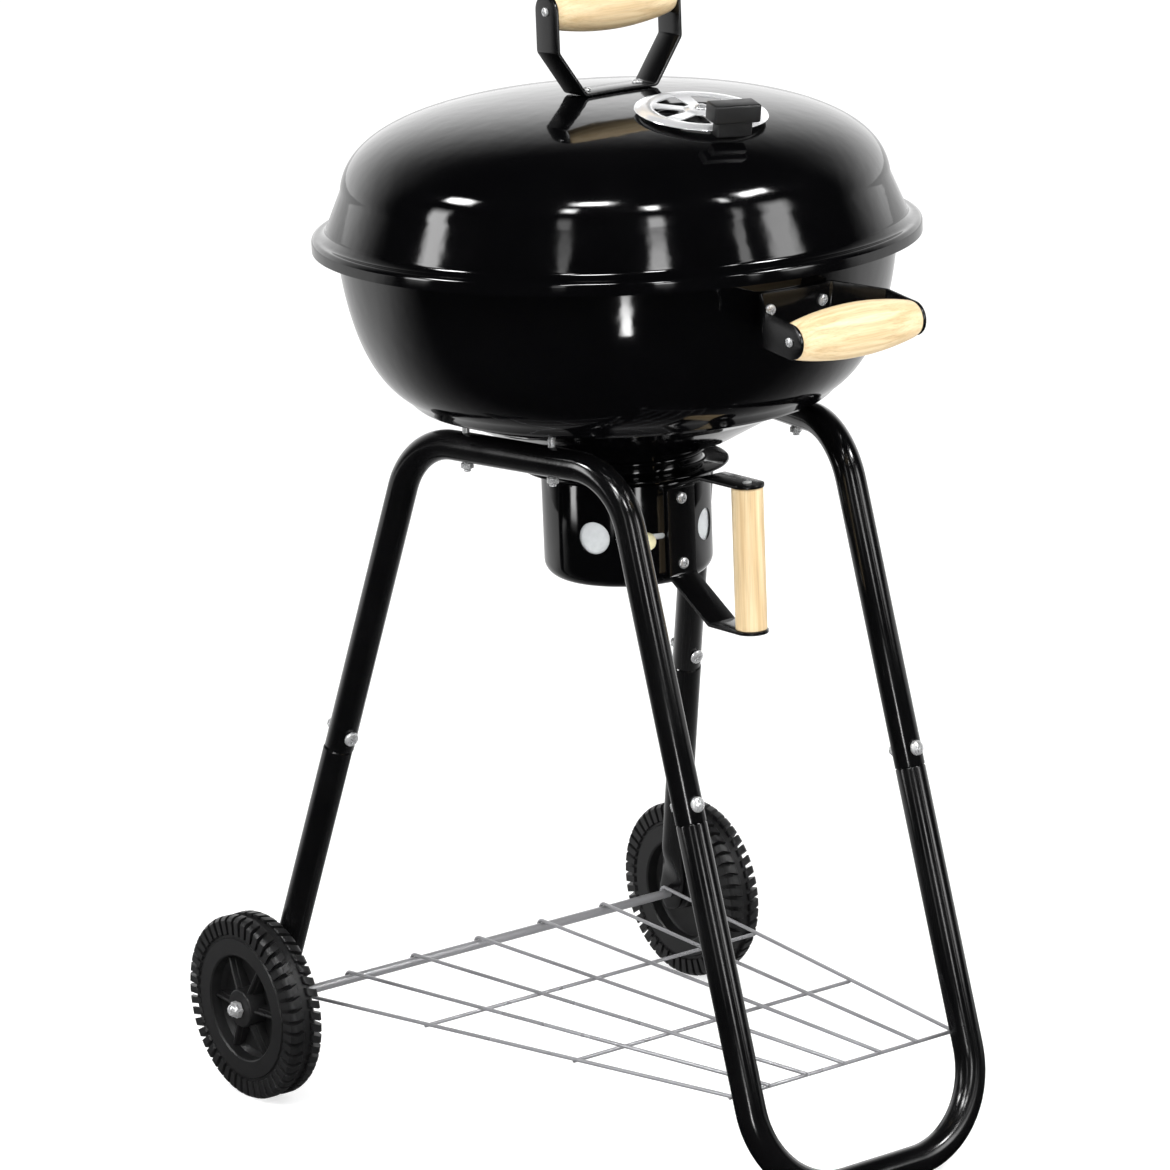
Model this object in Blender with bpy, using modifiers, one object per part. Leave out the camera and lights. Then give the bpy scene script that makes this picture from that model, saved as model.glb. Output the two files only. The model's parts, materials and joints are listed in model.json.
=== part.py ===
"""Kettle charcoal grill: enamelled bowl and lid on a bent tube stand with two wheels and a wire shelf.

+Z is up, the floor is z = 0 and the kettle's own axis is x = y = 0. The front, with the lid vent and the
ash catcher's handle, looks towards -Y. The axle lies along X at the back. All sizes are in metres.
"""

import math

import bmesh
import bpy
from mathutils import Matrix, Vector

# General
GAP = 0.0003
SHEET = 0.0012
ROUND_STEPS = 28

# Stand
TUBE_R = 0.0125
TUBE_SIDES = 10
FOOT_FLAT = 0.0003
TUBE_WALL = 0.0013
TUBE_BORE_R = TUBE_R - TUBE_WALL
BEND_R = 0.060
FRAME_TOP_Z = 0.586
RUN_FRONT_X = 0.1148
RUN_FRONT_Y = -0.1403
RUN_REAR_X = 0.1529
RUN_REAR_Y = 0.0832
JOINT_Z = 0.3265
JOINT_LAP = 0.0145
FLOOR_BEND_R = 0.078
FLOOR_RUN_X = 0.115
FLOOR_RUN_Y = -0.3035
BOLT_R = 0.003
BOLT_TIP = 0.002
NUT_HEIGHT = 1.6
NUT_R = 1.75
HEAD_R = 1.9
HEAD_HEIGHT = 0.55
WASHER_R = 0.0063
BOWL_BOLT_HEAD_R = 0.0060
BOWL_BOLT_Y = (-0.069, 0.025)

# Wheels and axle
WHEEL_R = 0.080
WHEEL_INNER_X = 0.2228
WHEEL_WIDTH = 0.0327
AXLE_R = 0.004
AXLE_Y = 0.2361
LEG_END_X = 0.216
LEG_END_HALF_WIDTH = 0.0155
LEG_END_HALF_THICKNESS = 0.003
HUB_R = 0.0165
WHEEL_RING_R = 0.77 * WHEEL_R
WHEEL_DISH_R = 0.56 * WHEEL_R
WHEEL_RIBS = 6
LEG_SIDES = 12

# Bowl
BOWL_RIM_R = 0.2297
BOWL_DEPTH = 0.1241
CREASE_R = 0.1761
STEP_R = 0.172
KNEE_R = 0.137
CONE_R = 0.0925
SUMP_R = 0.068
OPENING_R = 0.060
CURL_R = 0.0038
CURL_NECK = 0.0055
RIM_PULL = 0.0474
RIM_LEAN = 0.098
CREASE_PULL = 0.0424
CREASE_SLOPE = 0.508

# Lid
LID_HEIGHT = 0.1214
LID_WALL_DRAFT = 0.089
LIP_DROP = 0.0114
SHOULDER_INSET = 0.0121
SHOULDER_DROP = 0.0741
SHOULDER_PULL = 0.0564
CROWN_FLAT = 0.546
SKIRT_FILLET = 0.007
LIP_FILLET = 0.004

# Handles: the lid and the two bowl handles share one pattern
HANDLE_REACH = 0.071
HANDLE_HALF_SPAN = 0.0625
HANDLE_FOOT = 0.036
HANDLE_BEND = 0.038
STRAP_HALF_WIDTH = 0.014
STRAP = 0.0025
GRIP_END_R = 0.014
GRIP_MID_R = 0.0215
HANDLE_BOLT_X = 0.027
HANDLE_BOLT_R = 0.0025
BOLT_SLACK = 0.0026
GRIP_SCREW_R = 0.002
GRIP_SCREW_LENGTH = 0.022
BOWL_HANDLE_DROP = 0.025

# Lid vent
VENT_Y = -0.116
VENT_R = 0.054
VENT_WINDOWS = 6
VENT_HOLE_R = 0.0045
VENT_HOLE_RING = 0.033
VENT_GRIP_DEG = -105

# Ash catcher
CAN_R = 0.0701
CAN_HEIGHT = 0.0865
CAN_EDGE_R = 0.0135
COLLAR_DISC_R = 0.086
AIR_HOLE_R = 0.0135
AIR_HOLE_DEG = -61
SLOT_FROM_DEG = -137
SLOT_TO_DEG = -102
SLOT_HALF_HEIGHT = 0.0025
KNOB_DEG = -117
KNOB_R = 0.0075
ASH_GRIP_R = 0.013
ASH_GRIP_Y = -0.1595

# Grates
COOKING_DROP = 0.0475
COOKING_WIRE_R = 0.003
COOKING_PLAY = 0.0015
BRACKET_LEDGE = 0.013
COOKING_BAR_R = 0.002
COOKING_PITCH = 0.030
CHARCOAL_RISE = 0.018
CHARCOAL_WIRE_R = 0.003
CHARCOAL_PITCH = 0.044

# Shelf
WIRE_R = 0.0016
SHELF_WIRES = 7
SHELF_REAR_X = 0.209
SHELF_FRONT_X = 0.117
SHELF_FRONT_Z = 0.0947
SHELF_FRONT_GAP = 0.0092

# Levels worked out from the stand
KNEE_Z = FRAME_TOP_Z + TUBE_R + 0.0025
CREASE_Z = KNEE_Z + 0.0169
STEP_Z = KNEE_Z + 0.0115
CONE_Z = KNEE_Z - 0.024
SUMP_Z = KNEE_Z - 0.0285
RIM_Z = CREASE_Z + BOWL_DEPTH + CURL_NECK
BOWL_HANDLE_Z = CREASE_Z + BOWL_DEPTH - BOWL_HANDLE_DROP
LID_SEAT_Z = RIM_Z + CURL_R + SHEET + GAP
LID_WALL_R = BOWL_RIM_R + 0.0073
LIP_R = BOWL_RIM_R + 0.0203
LID_TOP_Z = LID_SEAT_Z + SHEET - LIP_DROP + LID_HEIGHT
CAN_TOP_Z = SUMP_Z - 0.0245
CAN_BOTTOM_Z = CAN_TOP_Z - CAN_HEIGHT
AIR_Z = CAN_BOTTOM_Z + 0.0435
AXLE_Z = WHEEL_R
FLOOR_RUN_Z = TUBE_R * math.cos(math.pi / TUBE_SIDES) - FOOT_FLAT


# ---------------------------------------------------------------- outlines


def bezier(p0, p1, p2, p3, steps):
    """Points of a cubic curve, both ends included."""
    points = []
    for i in range(steps + 1):
        t = i / steps
        a, b, c, d = (1 - t) ** 3, 3 * (1 - t) ** 2 * t, 3 * (1 - t) * t * t, t**3
        points.append(tuple(a * p + b * q + c * r + d * s for p, q, r, s in zip(p0, p1, p2, p3)))
    return points


def arc(centre, radius, start, end, steps):
    """Points of an arc from start to end, in degrees."""
    angles = [math.radians(start + (end - start) * i / steps) for i in range(steps + 1)]
    return [(centre[0] + radius * math.cos(a), centre[1] + radius * math.sin(a)) for a in angles]


def rounded(points, radius, steps):
    """An open path whose inner corners are turned into arcs of one radius."""
    points = [Vector(p) for p in points]
    path = [points[0]]
    for before, corner, after in zip(points, points[1:], points[2:]):
        back = (before - corner).normalized()
        ahead = (after - corner).normalized()
        half = back.angle(ahead) / 2
        reach = radius / math.tan(half)
        centre = corner + (back + ahead).normalized() * radius / math.sin(half)
        first = corner + back * reach - centre
        last = corner + ahead * reach - centre
        turn = first.angle(last)
        for i in range(steps + 1):
            t = i / steps
            mixed = first * math.sin((1 - t) * turn) + last * math.sin(t * turn)
            path.append(centre + mixed / math.sin(turn))
    path.append(points[-1])
    return path


def between(low, high, t):
    return low + (high - low) * t


def facet_radius(radius):
    """Least radius of a turned wall, at the middle of its flats."""
    return radius * math.cos(math.pi / ROUND_STEPS)


def bowl_curve():
    """Outer outline of the bowl, from its rim down to the crease above the stepped floor."""
    rim = (BOWL_RIM_R, RIM_Z - CURL_NECK)
    crease = (CREASE_R, CREASE_Z)
    rim_pull = (rim[0] - RIM_PULL * math.sin(RIM_LEAN), rim[1] - RIM_PULL * math.cos(RIM_LEAN))
    crease_pull = (
        crease[0] + CREASE_PULL * math.cos(CREASE_SLOPE),
        crease[1] + CREASE_PULL * math.sin(CREASE_SLOPE),
    )
    return bezier(rim, rim_pull, crease_pull, crease, 6)


def bowl_floor():
    """Outer outline of the bowl's floor, from the crease to the ash opening."""
    return [
        (STEP_R, STEP_Z),
        (KNEE_R, KNEE_Z),
        (CONE_R, CONE_Z),
        (SUMP_R, SUMP_Z),
        (OPENING_R, SUMP_Z),
    ]


def crown_curve():
    """Outer outline of the lid's crown, from its centre to the top of the straight wall."""
    shoulder = (LID_WALL_R - SHOULDER_INSET, LID_TOP_Z - SHOULDER_DROP)
    lean = (-SHOULDER_PULL * math.sin(LID_WALL_DRAFT), SHOULDER_PULL * math.cos(LID_WALL_DRAFT))
    shoulder_pull = (shoulder[0] + lean[0], shoulder[1] + lean[1])
    flat_pull = (CROWN_FLAT * shoulder[0], LID_TOP_Z)
    return bezier((0, LID_TOP_Z), flat_pull, shoulder_pull, shoulder, 6)


def outline_radius(outline, height):
    """Radius of an outline that runs downwards, at one height."""
    for (r0, z0), (r1, z1) in zip(outline, outline[1:]):
        if z1 <= height <= z0:
            return between(r0, r1, (z0 - height) / (z0 - z1))
    return outline[-1][0]


def outline_height(outline, radius):
    """Height of an outline at one radius."""
    for (r0, z0), (r1, z1) in zip(outline, outline[1:]):
        if min(r0, r1) <= radius <= max(r0, r1) and r0 != r1:
            return between(z0, z1, (radius - r0) / (r1 - r0))
    return outline[-1][1]


# ---------------------------------------------------------------- building tools


def new_collection(name, hidden):
    made = bpy.data.collections.new(name)
    bpy.context.scene.collection.children.link(made)
    made.hide_render = hidden
    return made


def new_material(name, colour, roughness, metallic):
    made = bpy.data.materials.new(name)
    made.use_nodes = True
    shader = made.node_tree.nodes["Principled BSDF"]
    shader.inputs["Base Color"].default_value = (*colour, 1)
    shader.inputs["Roughness"].default_value = roughness
    shader.inputs["Metallic"].default_value = metallic
    return made


def add_object(name, data, material=None):
    """Links data as a visible part, or as a hidden cutter when it has no material."""
    made = bpy.data.objects.new(name, data)
    if material is None:
        CUTTERS.objects.link(made)
        made.hide_render = True
        made.display_type = "WIRE"
    else:
        PARTS.objects.link(made)
        made.data.materials.append(material)
    return made


def add_empty(name, location):
    made = bpy.data.objects.new(name, None)
    made.location = location
    made.empty_display_size = 0.05
    PARTS.objects.link(made)
    return made


def carry(parent, *children):
    """Parents pieces to the empty on their joint's axis, where they already are."""
    bpy.context.view_layer.update()
    for child in children:
        child.parent = parent
        child.matrix_parent_inverse = parent.matrix_world.inverted()


def facing(origin, direction):
    """A matrix whose origin is at a point and whose +Z runs along a direction."""
    turn = Vector(direction).to_track_quat("Z", "Y").to_matrix().to_4x4()
    return Matrix.Translation(origin) @ turn


def turned(name, outline, material=None, segments=ROUND_STEPS, closed=False, wall=0):
    """A turned piece about its own Z, from an outline of (radius, height) that runs down its outer side."""
    mesh = bpy.data.meshes.new(name)
    edges = [(i, i + 1) for i in range(len(outline) - 1)]
    if closed:
        edges.append((len(outline) - 1, 0))
    mesh.from_pydata([(r, 0, z) for r, z in outline], edges, [])
    made = add_object(name, mesh, material)
    screw = made.modifiers.new("turn", "SCREW")
    screw.steps = segments
    screw.render_steps = segments
    screw.use_merge_vertices = True
    screw.merge_threshold = 0.00001
    screw.use_smooth_shade = True
    if wall:
        shell = made.modifiers.new("wall", "SOLIDIFY")
        shell.thickness = wall
        shell.use_even_offset = True
    return made


def bent_tube(name, path, radius, material=None, resolution=3, cyclic=False):
    """A round tube or wire along a path, as a mesh, so that it can be cut or joined."""
    curve = bpy.data.curves.new(name + "_path", "CURVE")
    curve.dimensions = "3D"
    curve.bevel_depth = radius
    curve.bevel_resolution = resolution
    curve.use_fill_caps = True
    spline = curve.splines.new("POLY")
    spline.points.add(len(path) - 1)
    for point, place in zip(spline.points, path):
        point.co = (*place, 1)
    spline.use_cyclic_u = cyclic
    return meshed(name, curve, material)


def plate(name, outlines, thickness, material=None):
    """A flat plate about local z = 0 from one or more closed outlines, as a mesh."""
    curve = bpy.data.curves.new(name + "_outline", "CURVE")
    curve.dimensions = "2D"
    curve.fill_mode = "BOTH"
    curve.extrude = thickness / 2
    for outline in outlines:
        spline = curve.splines.new("POLY")
        spline.points.add(len(outline) - 1)
        for point, (x, y) in zip(spline.points, outline):
            point.co = (x, y, 0, 1)
        spline.use_cyclic_u = True
    return meshed(name, curve, material)


def meshed(name, curve, material):
    """Turns a curve into a mesh object with its caps welded, and removes the curve."""
    guide = bpy.data.objects.new(name + "_guide", curve)
    CUTTERS.objects.link(guide)
    bpy.context.view_layer.update()
    graph = bpy.context.evaluated_depsgraph_get()
    mesh = bpy.data.meshes.new_from_object(guide.evaluated_get(graph))
    shape = bmesh.new()
    shape.from_mesh(mesh)
    bmesh.ops.remove_doubles(shape, verts=shape.verts, dist=0.00001)
    bmesh.ops.recalc_face_normals(shape, faces=shape.faces)
    shape.to_mesh(mesh)
    shape.free()
    mesh.materials.clear()
    made = add_object(name, mesh, material)
    made.matrix_world = guide.matrix_world.copy()
    bpy.data.objects.remove(guide)
    bpy.data.curves.remove(curve)
    return made


def rod(name, start, end, radius, material=None, segments=10):
    """A straight round bar from one point to another."""
    return rods(name, [(start, end)], radius, material, segments)


def rods(name, ends, radius, material=None, segments=6):
    """Several separate round bars in one mesh, for joining to something they cross."""
    shape = bmesh.new()
    for start, end in ends:
        along = Vector(end) - Vector(start)
        bmesh.ops.create_cone(
            shape,
            cap_ends=True,
            segments=segments,
            radius1=radius,
            radius2=radius,
            depth=along.length,
            matrix=facing(Vector(start) + along / 2, along),
        )
    return finished(name, shape, material)


def blocks(name, places, size, material=None):
    """Several separate boxes of one size in one mesh, each placed by a matrix."""
    shape = bmesh.new()
    for place in places:
        bmesh.ops.create_cube(shape, size=1, matrix=place @ Matrix.Diagonal((*size, 1)))
    return finished(name, shape, material)


def finished(name, shape, material):
    mesh = bpy.data.meshes.new(name)
    shape.to_mesh(mesh)
    shape.free()
    return add_object(name, mesh, material)


def strap(name, path, side, half_widths, material):
    """A bent flat strap: a ribbon along the path, as wide as half_widths says, given its thickness."""
    shape = bmesh.new()
    rows = []
    for point, half in zip(path, half_widths):
        ends = [point] if half < 1e-6 else [point - side * half, point + side * half]
        rows.append([shape.verts.new(end) for end in ends])
    for first, second in zip(rows, rows[1:]):
        shape.faces.new(first + second[::-1])
    bmesh.ops.recalc_face_normals(shape, faces=shape.faces)
    made = finished(name, shape, material)
    shell = made.modifiers.new("thickness", "SOLIDIFY")
    shell.thickness = STRAP
    shell.offset = 0
    shell.use_even_offset = True
    return made


def round_ended(path, half_width, steps=3):
    """The path with extra points near both ends, and the half width at each, so that the ends are round."""
    marks = [half_width * (1 - math.cos(math.pi / 2 * i / steps)) for i in range(steps + 1)]
    widths = [half_width * math.sin(math.pi / 2 * i / steps) for i in range(steps + 1)]
    first = (path[1] - path[0]).normalized()
    last = (path[-2] - path[-1]).normalized()
    start = [path[0] + first * mark for mark in marks]
    end = [path[-1] + last * mark for mark in reversed(marks)]
    middle = path[1:-1]
    return start + middle + end, widths + [half_width] * len(middle) + widths[::-1]


def cut(piece, cutter):
    change = piece.modifiers.new("cut_" + cutter.name, "BOOLEAN")
    change.operation = "DIFFERENCE"
    change.object = cutter


def join(piece, other):
    change = piece.modifiers.new("join_" + other.name, "BOOLEAN")
    change.operation = "UNION"
    change.object = other


def fastener(name, seat, outward, shank, grip, material, nut=True, head_r=None):
    """A pan-head screw whose head sits at seat and faces outward, with a nut after the length it grips."""
    head = HEAD_R * shank if head_r is None else head_r
    height = HEAD_HEIGHT * head
    outline = [(0, height), (0.62 * head, 0.82 * height), (head, 0.35 * height)]
    outline += [(head, 0), (shank, 0)]
    if nut:
        nut_r = NUT_R * shank
        under_nut = -grip - NUT_HEIGHT * shank
        outline += [(shank, -grip), (nut_r, -grip), (nut_r, under_nut)]
        outline += [(shank, under_nut), (shank, under_nut - BOLT_TIP), (0, under_nut - BOLT_TIP)]
    else:
        outline += [(shank, -grip + shank), (0, -grip)]
    made = turned(name, outline, material, segments=6)
    made.matrix_world = facing(seat, outward)
    return made


def hole_through(piece, name, point, direction, radius, before, after):
    """Drills a piece along a direction, from before the point to after it."""
    way = Vector(direction).normalized()
    drill = rod(name, Vector(point) - way * before, Vector(point) + way * after, radius)
    cut(piece, drill)
    return drill


# ---------------------------------------------------------------- handles


def handle(prefix, base, curve_r, web_r):
    """The strap, wooden grip and grip screws of a handle. base has its +Z away from the wall that
    carries it, its X along the grip. The web of the strap follows a wall of radius curve_r."""

    def web_rise(x):
        return curve_r - math.sqrt(curve_r**2 - x**2)

    rest = GAP + STRAP / 2 + web_r
    web = [Vector((x, 0, rest - web_rise(x))) for x in (-HANDLE_FOOT, -HANDLE_FOOT / 2, 0)]
    arm = [
        Vector((-HANDLE_HALF_SPAN, 0, HANDLE_REACH + STRAP_HALF_WIDTH)),
        Vector((-HANDLE_HALF_SPAN, 0, HANDLE_BEND)),
        web[0],
    ]
    bent = rounded(arm + [web[1]], 0.005, 2)[:-1] + web[1:]
    mirrored = [Vector((-p.x, p.y, p.z)) for p in reversed(bent[:-1])]
    path, widths = round_ended(bent + mirrored, STRAP_HALF_WIDTH)
    bracket = strap(prefix + "_bracket", path, Vector((0, 1, 0)), widths, PAINTED)
    bracket.matrix_world = base

    grip_length = 2 * (HANDLE_HALF_SPAN - STRAP / 2 - GAP)
    half = grip_length / 2
    pilot_r = GRIP_SCREW_R + GAP
    pilot_depth = GRIP_SCREW_LENGTH
    belly = []
    for i in range(7):
        along = half * (1 - i / 3)
        bulge = math.cos(math.pi / 2 * abs(along) / half) ** 0.8
        belly.append((between(GRIP_END_R, GRIP_MID_R, bulge), along))
    outline = [(0, half - pilot_depth), (pilot_r, half - pilot_depth), (pilot_r, half)]
    outline += belly
    outline += [(pilot_r, -half), (pilot_r, pilot_depth - half), (0, pilot_depth - half)]
    grip = turned(prefix + "_grip", outline, WOOD, segments=16)
    grip.matrix_world = base @ facing((0, 0, HANDLE_REACH), (1, 0, 0))

    screws = []
    for side, word in ((-1, "left"), (1, "right")):
        seat = base @ Vector((side * (HANDLE_HALF_SPAN + STRAP / 2 + GAP), 0, HANDLE_REACH))
        away = base.to_3x3() @ Vector((side, 0, 0))
        name = f"{prefix}_grip_screw_{word}"
        screws.append(fastener(name, seat, away, GRIP_SCREW_R, pilot_depth, ZINC, nut=False))
        ear = Vector((side * HANDLE_HALF_SPAN, 0, HANDLE_REACH))
        drill = hole_through(bracket, f"{prefix}_ear_{word}", ear, (1, 0, 0), pilot_r, 0.005, 0.005)
        drill.matrix_world = base
    return bracket, grip, screws


def handle_bolts(prefix, base, bracket, wall, curve_r, web_r, sag=0):
    """The two bolts that hold a handle's strap to the wall behind it. Both pieces are drilled for them.
    sag is how far the middle of the wall's flats lies inside its true circle."""
    bolts = []
    for side, word in ((-1, "left"), (1, "right")):
        x = side * HANDLE_BOLT_X
        fall = curve_r - math.sqrt(curve_r**2 - x**2)
        seat = Vector((x, 0, web_r - fall + STRAP + 3 * GAP))
        lean = math.asin(x / curve_r)
        out = Vector((math.sin(lean), 0, math.cos(lean)))
        grip = STRAP + SHEET + BOLT_SLACK + sag
        heading = base.to_3x3() @ out
        name = f"{prefix}_bolt_{word}"
        bolts.append(fastener(name, base @ seat, heading, HANDLE_BOLT_R, grip, ZINC))
        for piece, label in ((bracket, "strap"), (wall, "wall")):
            name = f"{prefix}_{label}_drill_{word}"
            hole_through(piece, name, base @ seat, -heading, HANDLE_BOLT_R + GAP, 0.006, 0.012)
    return bolts


# ---------------------------------------------------------------- kettle


def make_bowl():
    curl = arc((BOWL_RIM_R + CURL_R, RIM_Z), CURL_R, -45, 180, 4)
    return turned("bowl", curl + bowl_curve() + bowl_floor(), ENAMEL, wall=SHEET)


def make_lid():
    wall_foot_z = LID_SEAT_Z + SHEET
    lip_bottom = wall_foot_z - LIP_DROP
    skirt = arc((LID_WALL_R + SKIRT_FILLET, wall_foot_z + SKIRT_FILLET), SKIRT_FILLET, 180, 270, 3)
    lip = arc((LIP_R - LIP_FILLET, wall_foot_z - LIP_FILLET), LIP_FILLET, 90, 0, 2)
    outline = crown_curve() + skirt + lip + [(LIP_R, lip_bottom)]
    return turned("lid", outline, ENAMEL, wall=SHEET)


def make_lid_handle(lid):
    crown = crown_curve()
    crown_r = crown[2][0] ** 2 / (2 * (crown[0][1] - crown[2][1]))
    base = Matrix.Translation((0, 0, LID_TOP_Z))
    bracket, grip, screws = handle("lid_handle", base, crown_r, 0.0002)
    bolts = handle_bolts("lid_handle", base, bracket, lid, crown_r, 0.0002)
    return [bracket, grip, *screws, *bolts]


def make_bowl_handle(prefix, heading, bowl):
    """A side handle of the bowl. heading turns the front one, at -Y, to its place."""
    curve = bowl_curve()
    z = BOWL_HANDLE_Z
    upper = outline_radius(curve, z + STRAP_HALF_WIDTH)
    lower = outline_radius(curve, z - STRAP_HALF_WIDTH)
    radius = max(outline_radius(curve, z), (upper + lower) / 2)
    slope = math.atan((upper - lower) / (2 * STRAP_HALF_WIDTH))
    out = Matrix.Translation((0, -radius, z)) @ Matrix.Rotation(math.pi / 2 + slope, 4, "X")
    base = Matrix.Rotation(heading, 4, "Z") @ out
    web_r = 0.0004
    bracket, grip, screws = handle(prefix, base, radius, web_r)
    sag = radius - facet_radius(radius)
    bolts = handle_bolts(prefix, base, bracket, bowl, radius, web_r, sag)
    return [bracket, grip, *screws, *bolts]


def vent_frame():
    """Matrix of the lid vent: origin on the crown, +Z along its normal."""
    crown = crown_curve()
    z = outline_height(crown, -VENT_Y)
    drop = outline_height(crown, -VENT_Y - 0.02) - outline_height(crown, -VENT_Y + 0.02)
    return Matrix.Translation((0, VENT_Y, z)) @ Matrix.Rotation(math.atan(drop / 0.04), 4, "X")


def make_lid_vent(lid):
    base = vent_frame()
    plate_z = 0.0012
    rivet_r = 0.003
    hole_r = rivet_r + GAP
    outline = [
        (hole_r, plate_z + 0.0035),
        (0.0100, plate_z + 0.0035),
        (0.0130, plate_z + 0.0022),
        (0.0400, plate_z + 0.0022),
        (0.0430, plate_z + 0.0034),
        (0.0480, plate_z + 0.0034),
        (VENT_R - 0.002, plate_z + 0.0016),
        (VENT_R, plate_z + 0.0012),
    ]
    disc = turned("lid_damper", outline, CHROME, segments=24, wall=0.0010)
    disc.matrix_world = base

    windows = []
    for i in range(VENT_WINDOWS):
        centre = 360 / VENT_WINDOWS * i + VENT_GRIP_DEG + 180 / VENT_WINDOWS
        outer = arc((0, 0), 0.0385, centre - 20, centre + 20, 2)
        inner = arc((0, 0), 0.0150, centre + 12, centre - 12, 1)
        windows.append(outer + inner)
    window_cut = plate("lid_damper_windows", windows, 0.02)
    window_cut.matrix_world = base
    cut(disc, window_cut)

    turn = Matrix.Rotation(math.radians(VENT_GRIP_DEG), 4, "Z")
    tongue_z = plate_z + 0.0006
    tongue = blocks("lid_damper_tongue", [Matrix.Translation((VENT_R + 0.003, 0, tongue_z))],
                    (0.016, 0.018, 0.0012))
    tongue.matrix_world = base @ turn
    join(disc, tongue)

    neck = blocks("lid_damper_grip", [Matrix.Translation((VENT_R + 0.0062, 0, 0.0065))],
                  (0.011, 0.030, 0.013), PLASTIC)
    neck.matrix_world = base @ turn
    head = blocks("lid_damper_grip_head", [Matrix.Translation((VENT_R + 0.0062, 0, 0.0195))],
                  (0.020, 0.040, 0.015))
    head.matrix_world = base @ turn
    join(neck, head)
    slot = blocks("lid_damper_grip_slot", [Matrix.Translation((VENT_R, 0, tongue_z))],
                  (0.023 + 2 * GAP, 0.018 + 2 * GAP, 0.0012 + 2 * GAP))
    slot.matrix_world = base @ turn
    cut(neck, slot)

    top = plate_z + 0.0035 + GAP
    foot = -SHEET - 0.0009
    outline = [(0, top + 0.003), (0.0035, top + 0.0024), (0.006, top + 0.0008), (0.006, top)]
    outline += [(rivet_r, top), (rivet_r, foot), (0.006, foot), (0.006, foot - 0.002), (0, foot - 0.002)]
    rivet = turned("lid_damper_rivet", outline, ZINC, segments=12)
    rivet.matrix_world = base

    holes = []
    for i in range(VENT_WINDOWS):
        angle = math.radians(360 / VENT_WINDOWS * (i + 0.5) + VENT_GRIP_DEG)
        x, y = VENT_HOLE_RING * math.cos(angle), VENT_HOLE_RING * math.sin(angle)
        holes.append(((x, y, -0.01), (x, y, 0.01)))
    air = rods("lid_air_holes", holes, VENT_HOLE_R, segments=10)
    air.matrix_world = base
    cut(lid, air)
    centre = rod("lid_rivet_hole", (0, 0, -0.01), (0, 0, 0.01), hole_r, segments=12)
    centre.matrix_world = base
    cut(lid, centre)
    return disc, neck, rivet


# ---------------------------------------------------------------- grates


def make_grate(name, radius, z, wire_r, bar_r, pitch):
    """A round wire grate: a ring, bars across it along X, and two braces under them."""
    ring_points = [(radius * math.cos(a), radius * math.sin(a), z)
                   for a in (2 * math.pi * i / ROUND_STEPS for i in range(ROUND_STEPS))]
    ring = bent_tube(name, ring_points, wire_r, NICKEL, resolution=1, cyclic=True)
    bars = []
    count = int((radius - wire_r) / pitch)
    for i in range(-count, count + 1):
        y = i * pitch
        x = math.sqrt(radius**2 - y**2)
        bars.append(((-x, y, z + 0.4 * wire_r), (x, y, z + 0.4 * wire_r)))
    join(ring, rods(name + "_bars", bars, bar_r, segments=5))
    braces = []
    for side in (-1, 1):
        x = side * 0.42 * radius
        y = math.sqrt(radius**2 - x**2)
        braces.append(((x, -y, z - 0.6 * bar_r), (x, y, z - 0.6 * bar_r)))
    join(ring, rods(name + "_braces", braces, bar_r, segments=5))
    return ring


def make_cooking_grate():
    z = RIM_Z - COOKING_DROP
    at_bolts = outline_radius(bowl_curve(), BOWL_HANDLE_Z) - SHEET - BOLT_SLACK
    inner = min(at_bolts, outline_radius(bowl_curve(), z - COOKING_WIRE_R) - SHEET)
    radius = facet_radius(inner) - NUT_HEIGHT * HANDLE_BOLT_R - BOLT_TIP - COOKING_WIRE_R - COOKING_PLAY
    return make_grate("cooking_grate", radius, z, COOKING_WIRE_R, COOKING_BAR_R, COOKING_PITCH)


def make_charcoal_grate():
    z = CREASE_Z + CHARCOAL_RISE
    inner = outline_radius(bowl_curve(), z - CHARCOAL_WIRE_R) - 1.3 * SHEET
    radius = facet_radius(inner) - CHARCOAL_WIRE_R - 0.0006
    return make_grate("charcoal_grate", radius, z, CHARCOAL_WIRE_R, CHARCOAL_WIRE_R, CHARCOAL_PITCH)


def make_grate_brackets():
    """Three bent tabs inside the bowl, which carry the cooking grate."""
    made = []
    top = RIM_Z - COOKING_DROP - COOKING_WIRE_R - GAP - STRAP / 2
    foot = top - 0.022
    for i in range(3):
        lean_top = facet_radius(outline_radius(bowl_curve(), top + 0.004) - SHEET) - STRAP
        lean_foot = facet_radius(outline_radius(bowl_curve(), foot) - SHEET) - STRAP
        corner = Vector((lean_top - 0.0015, 0, top))
        ledge = Vector((lean_top - BRACKET_LEDGE, 0, top))
        path = rounded([Vector((lean_foot, 0, foot)), corner, ledge], 0.003, 3)
        tab = strap(f"grate_bracket_{i + 1}", path, Vector((0, 1, 0)), [0.009] * len(path), NICKEL)
        tab.matrix_world = Matrix.Rotation(math.radians(40.5 + 120 * i), 4, "Z")
        made.append(tab)
    return made


# ---------------------------------------------------------------- ash catcher


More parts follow.
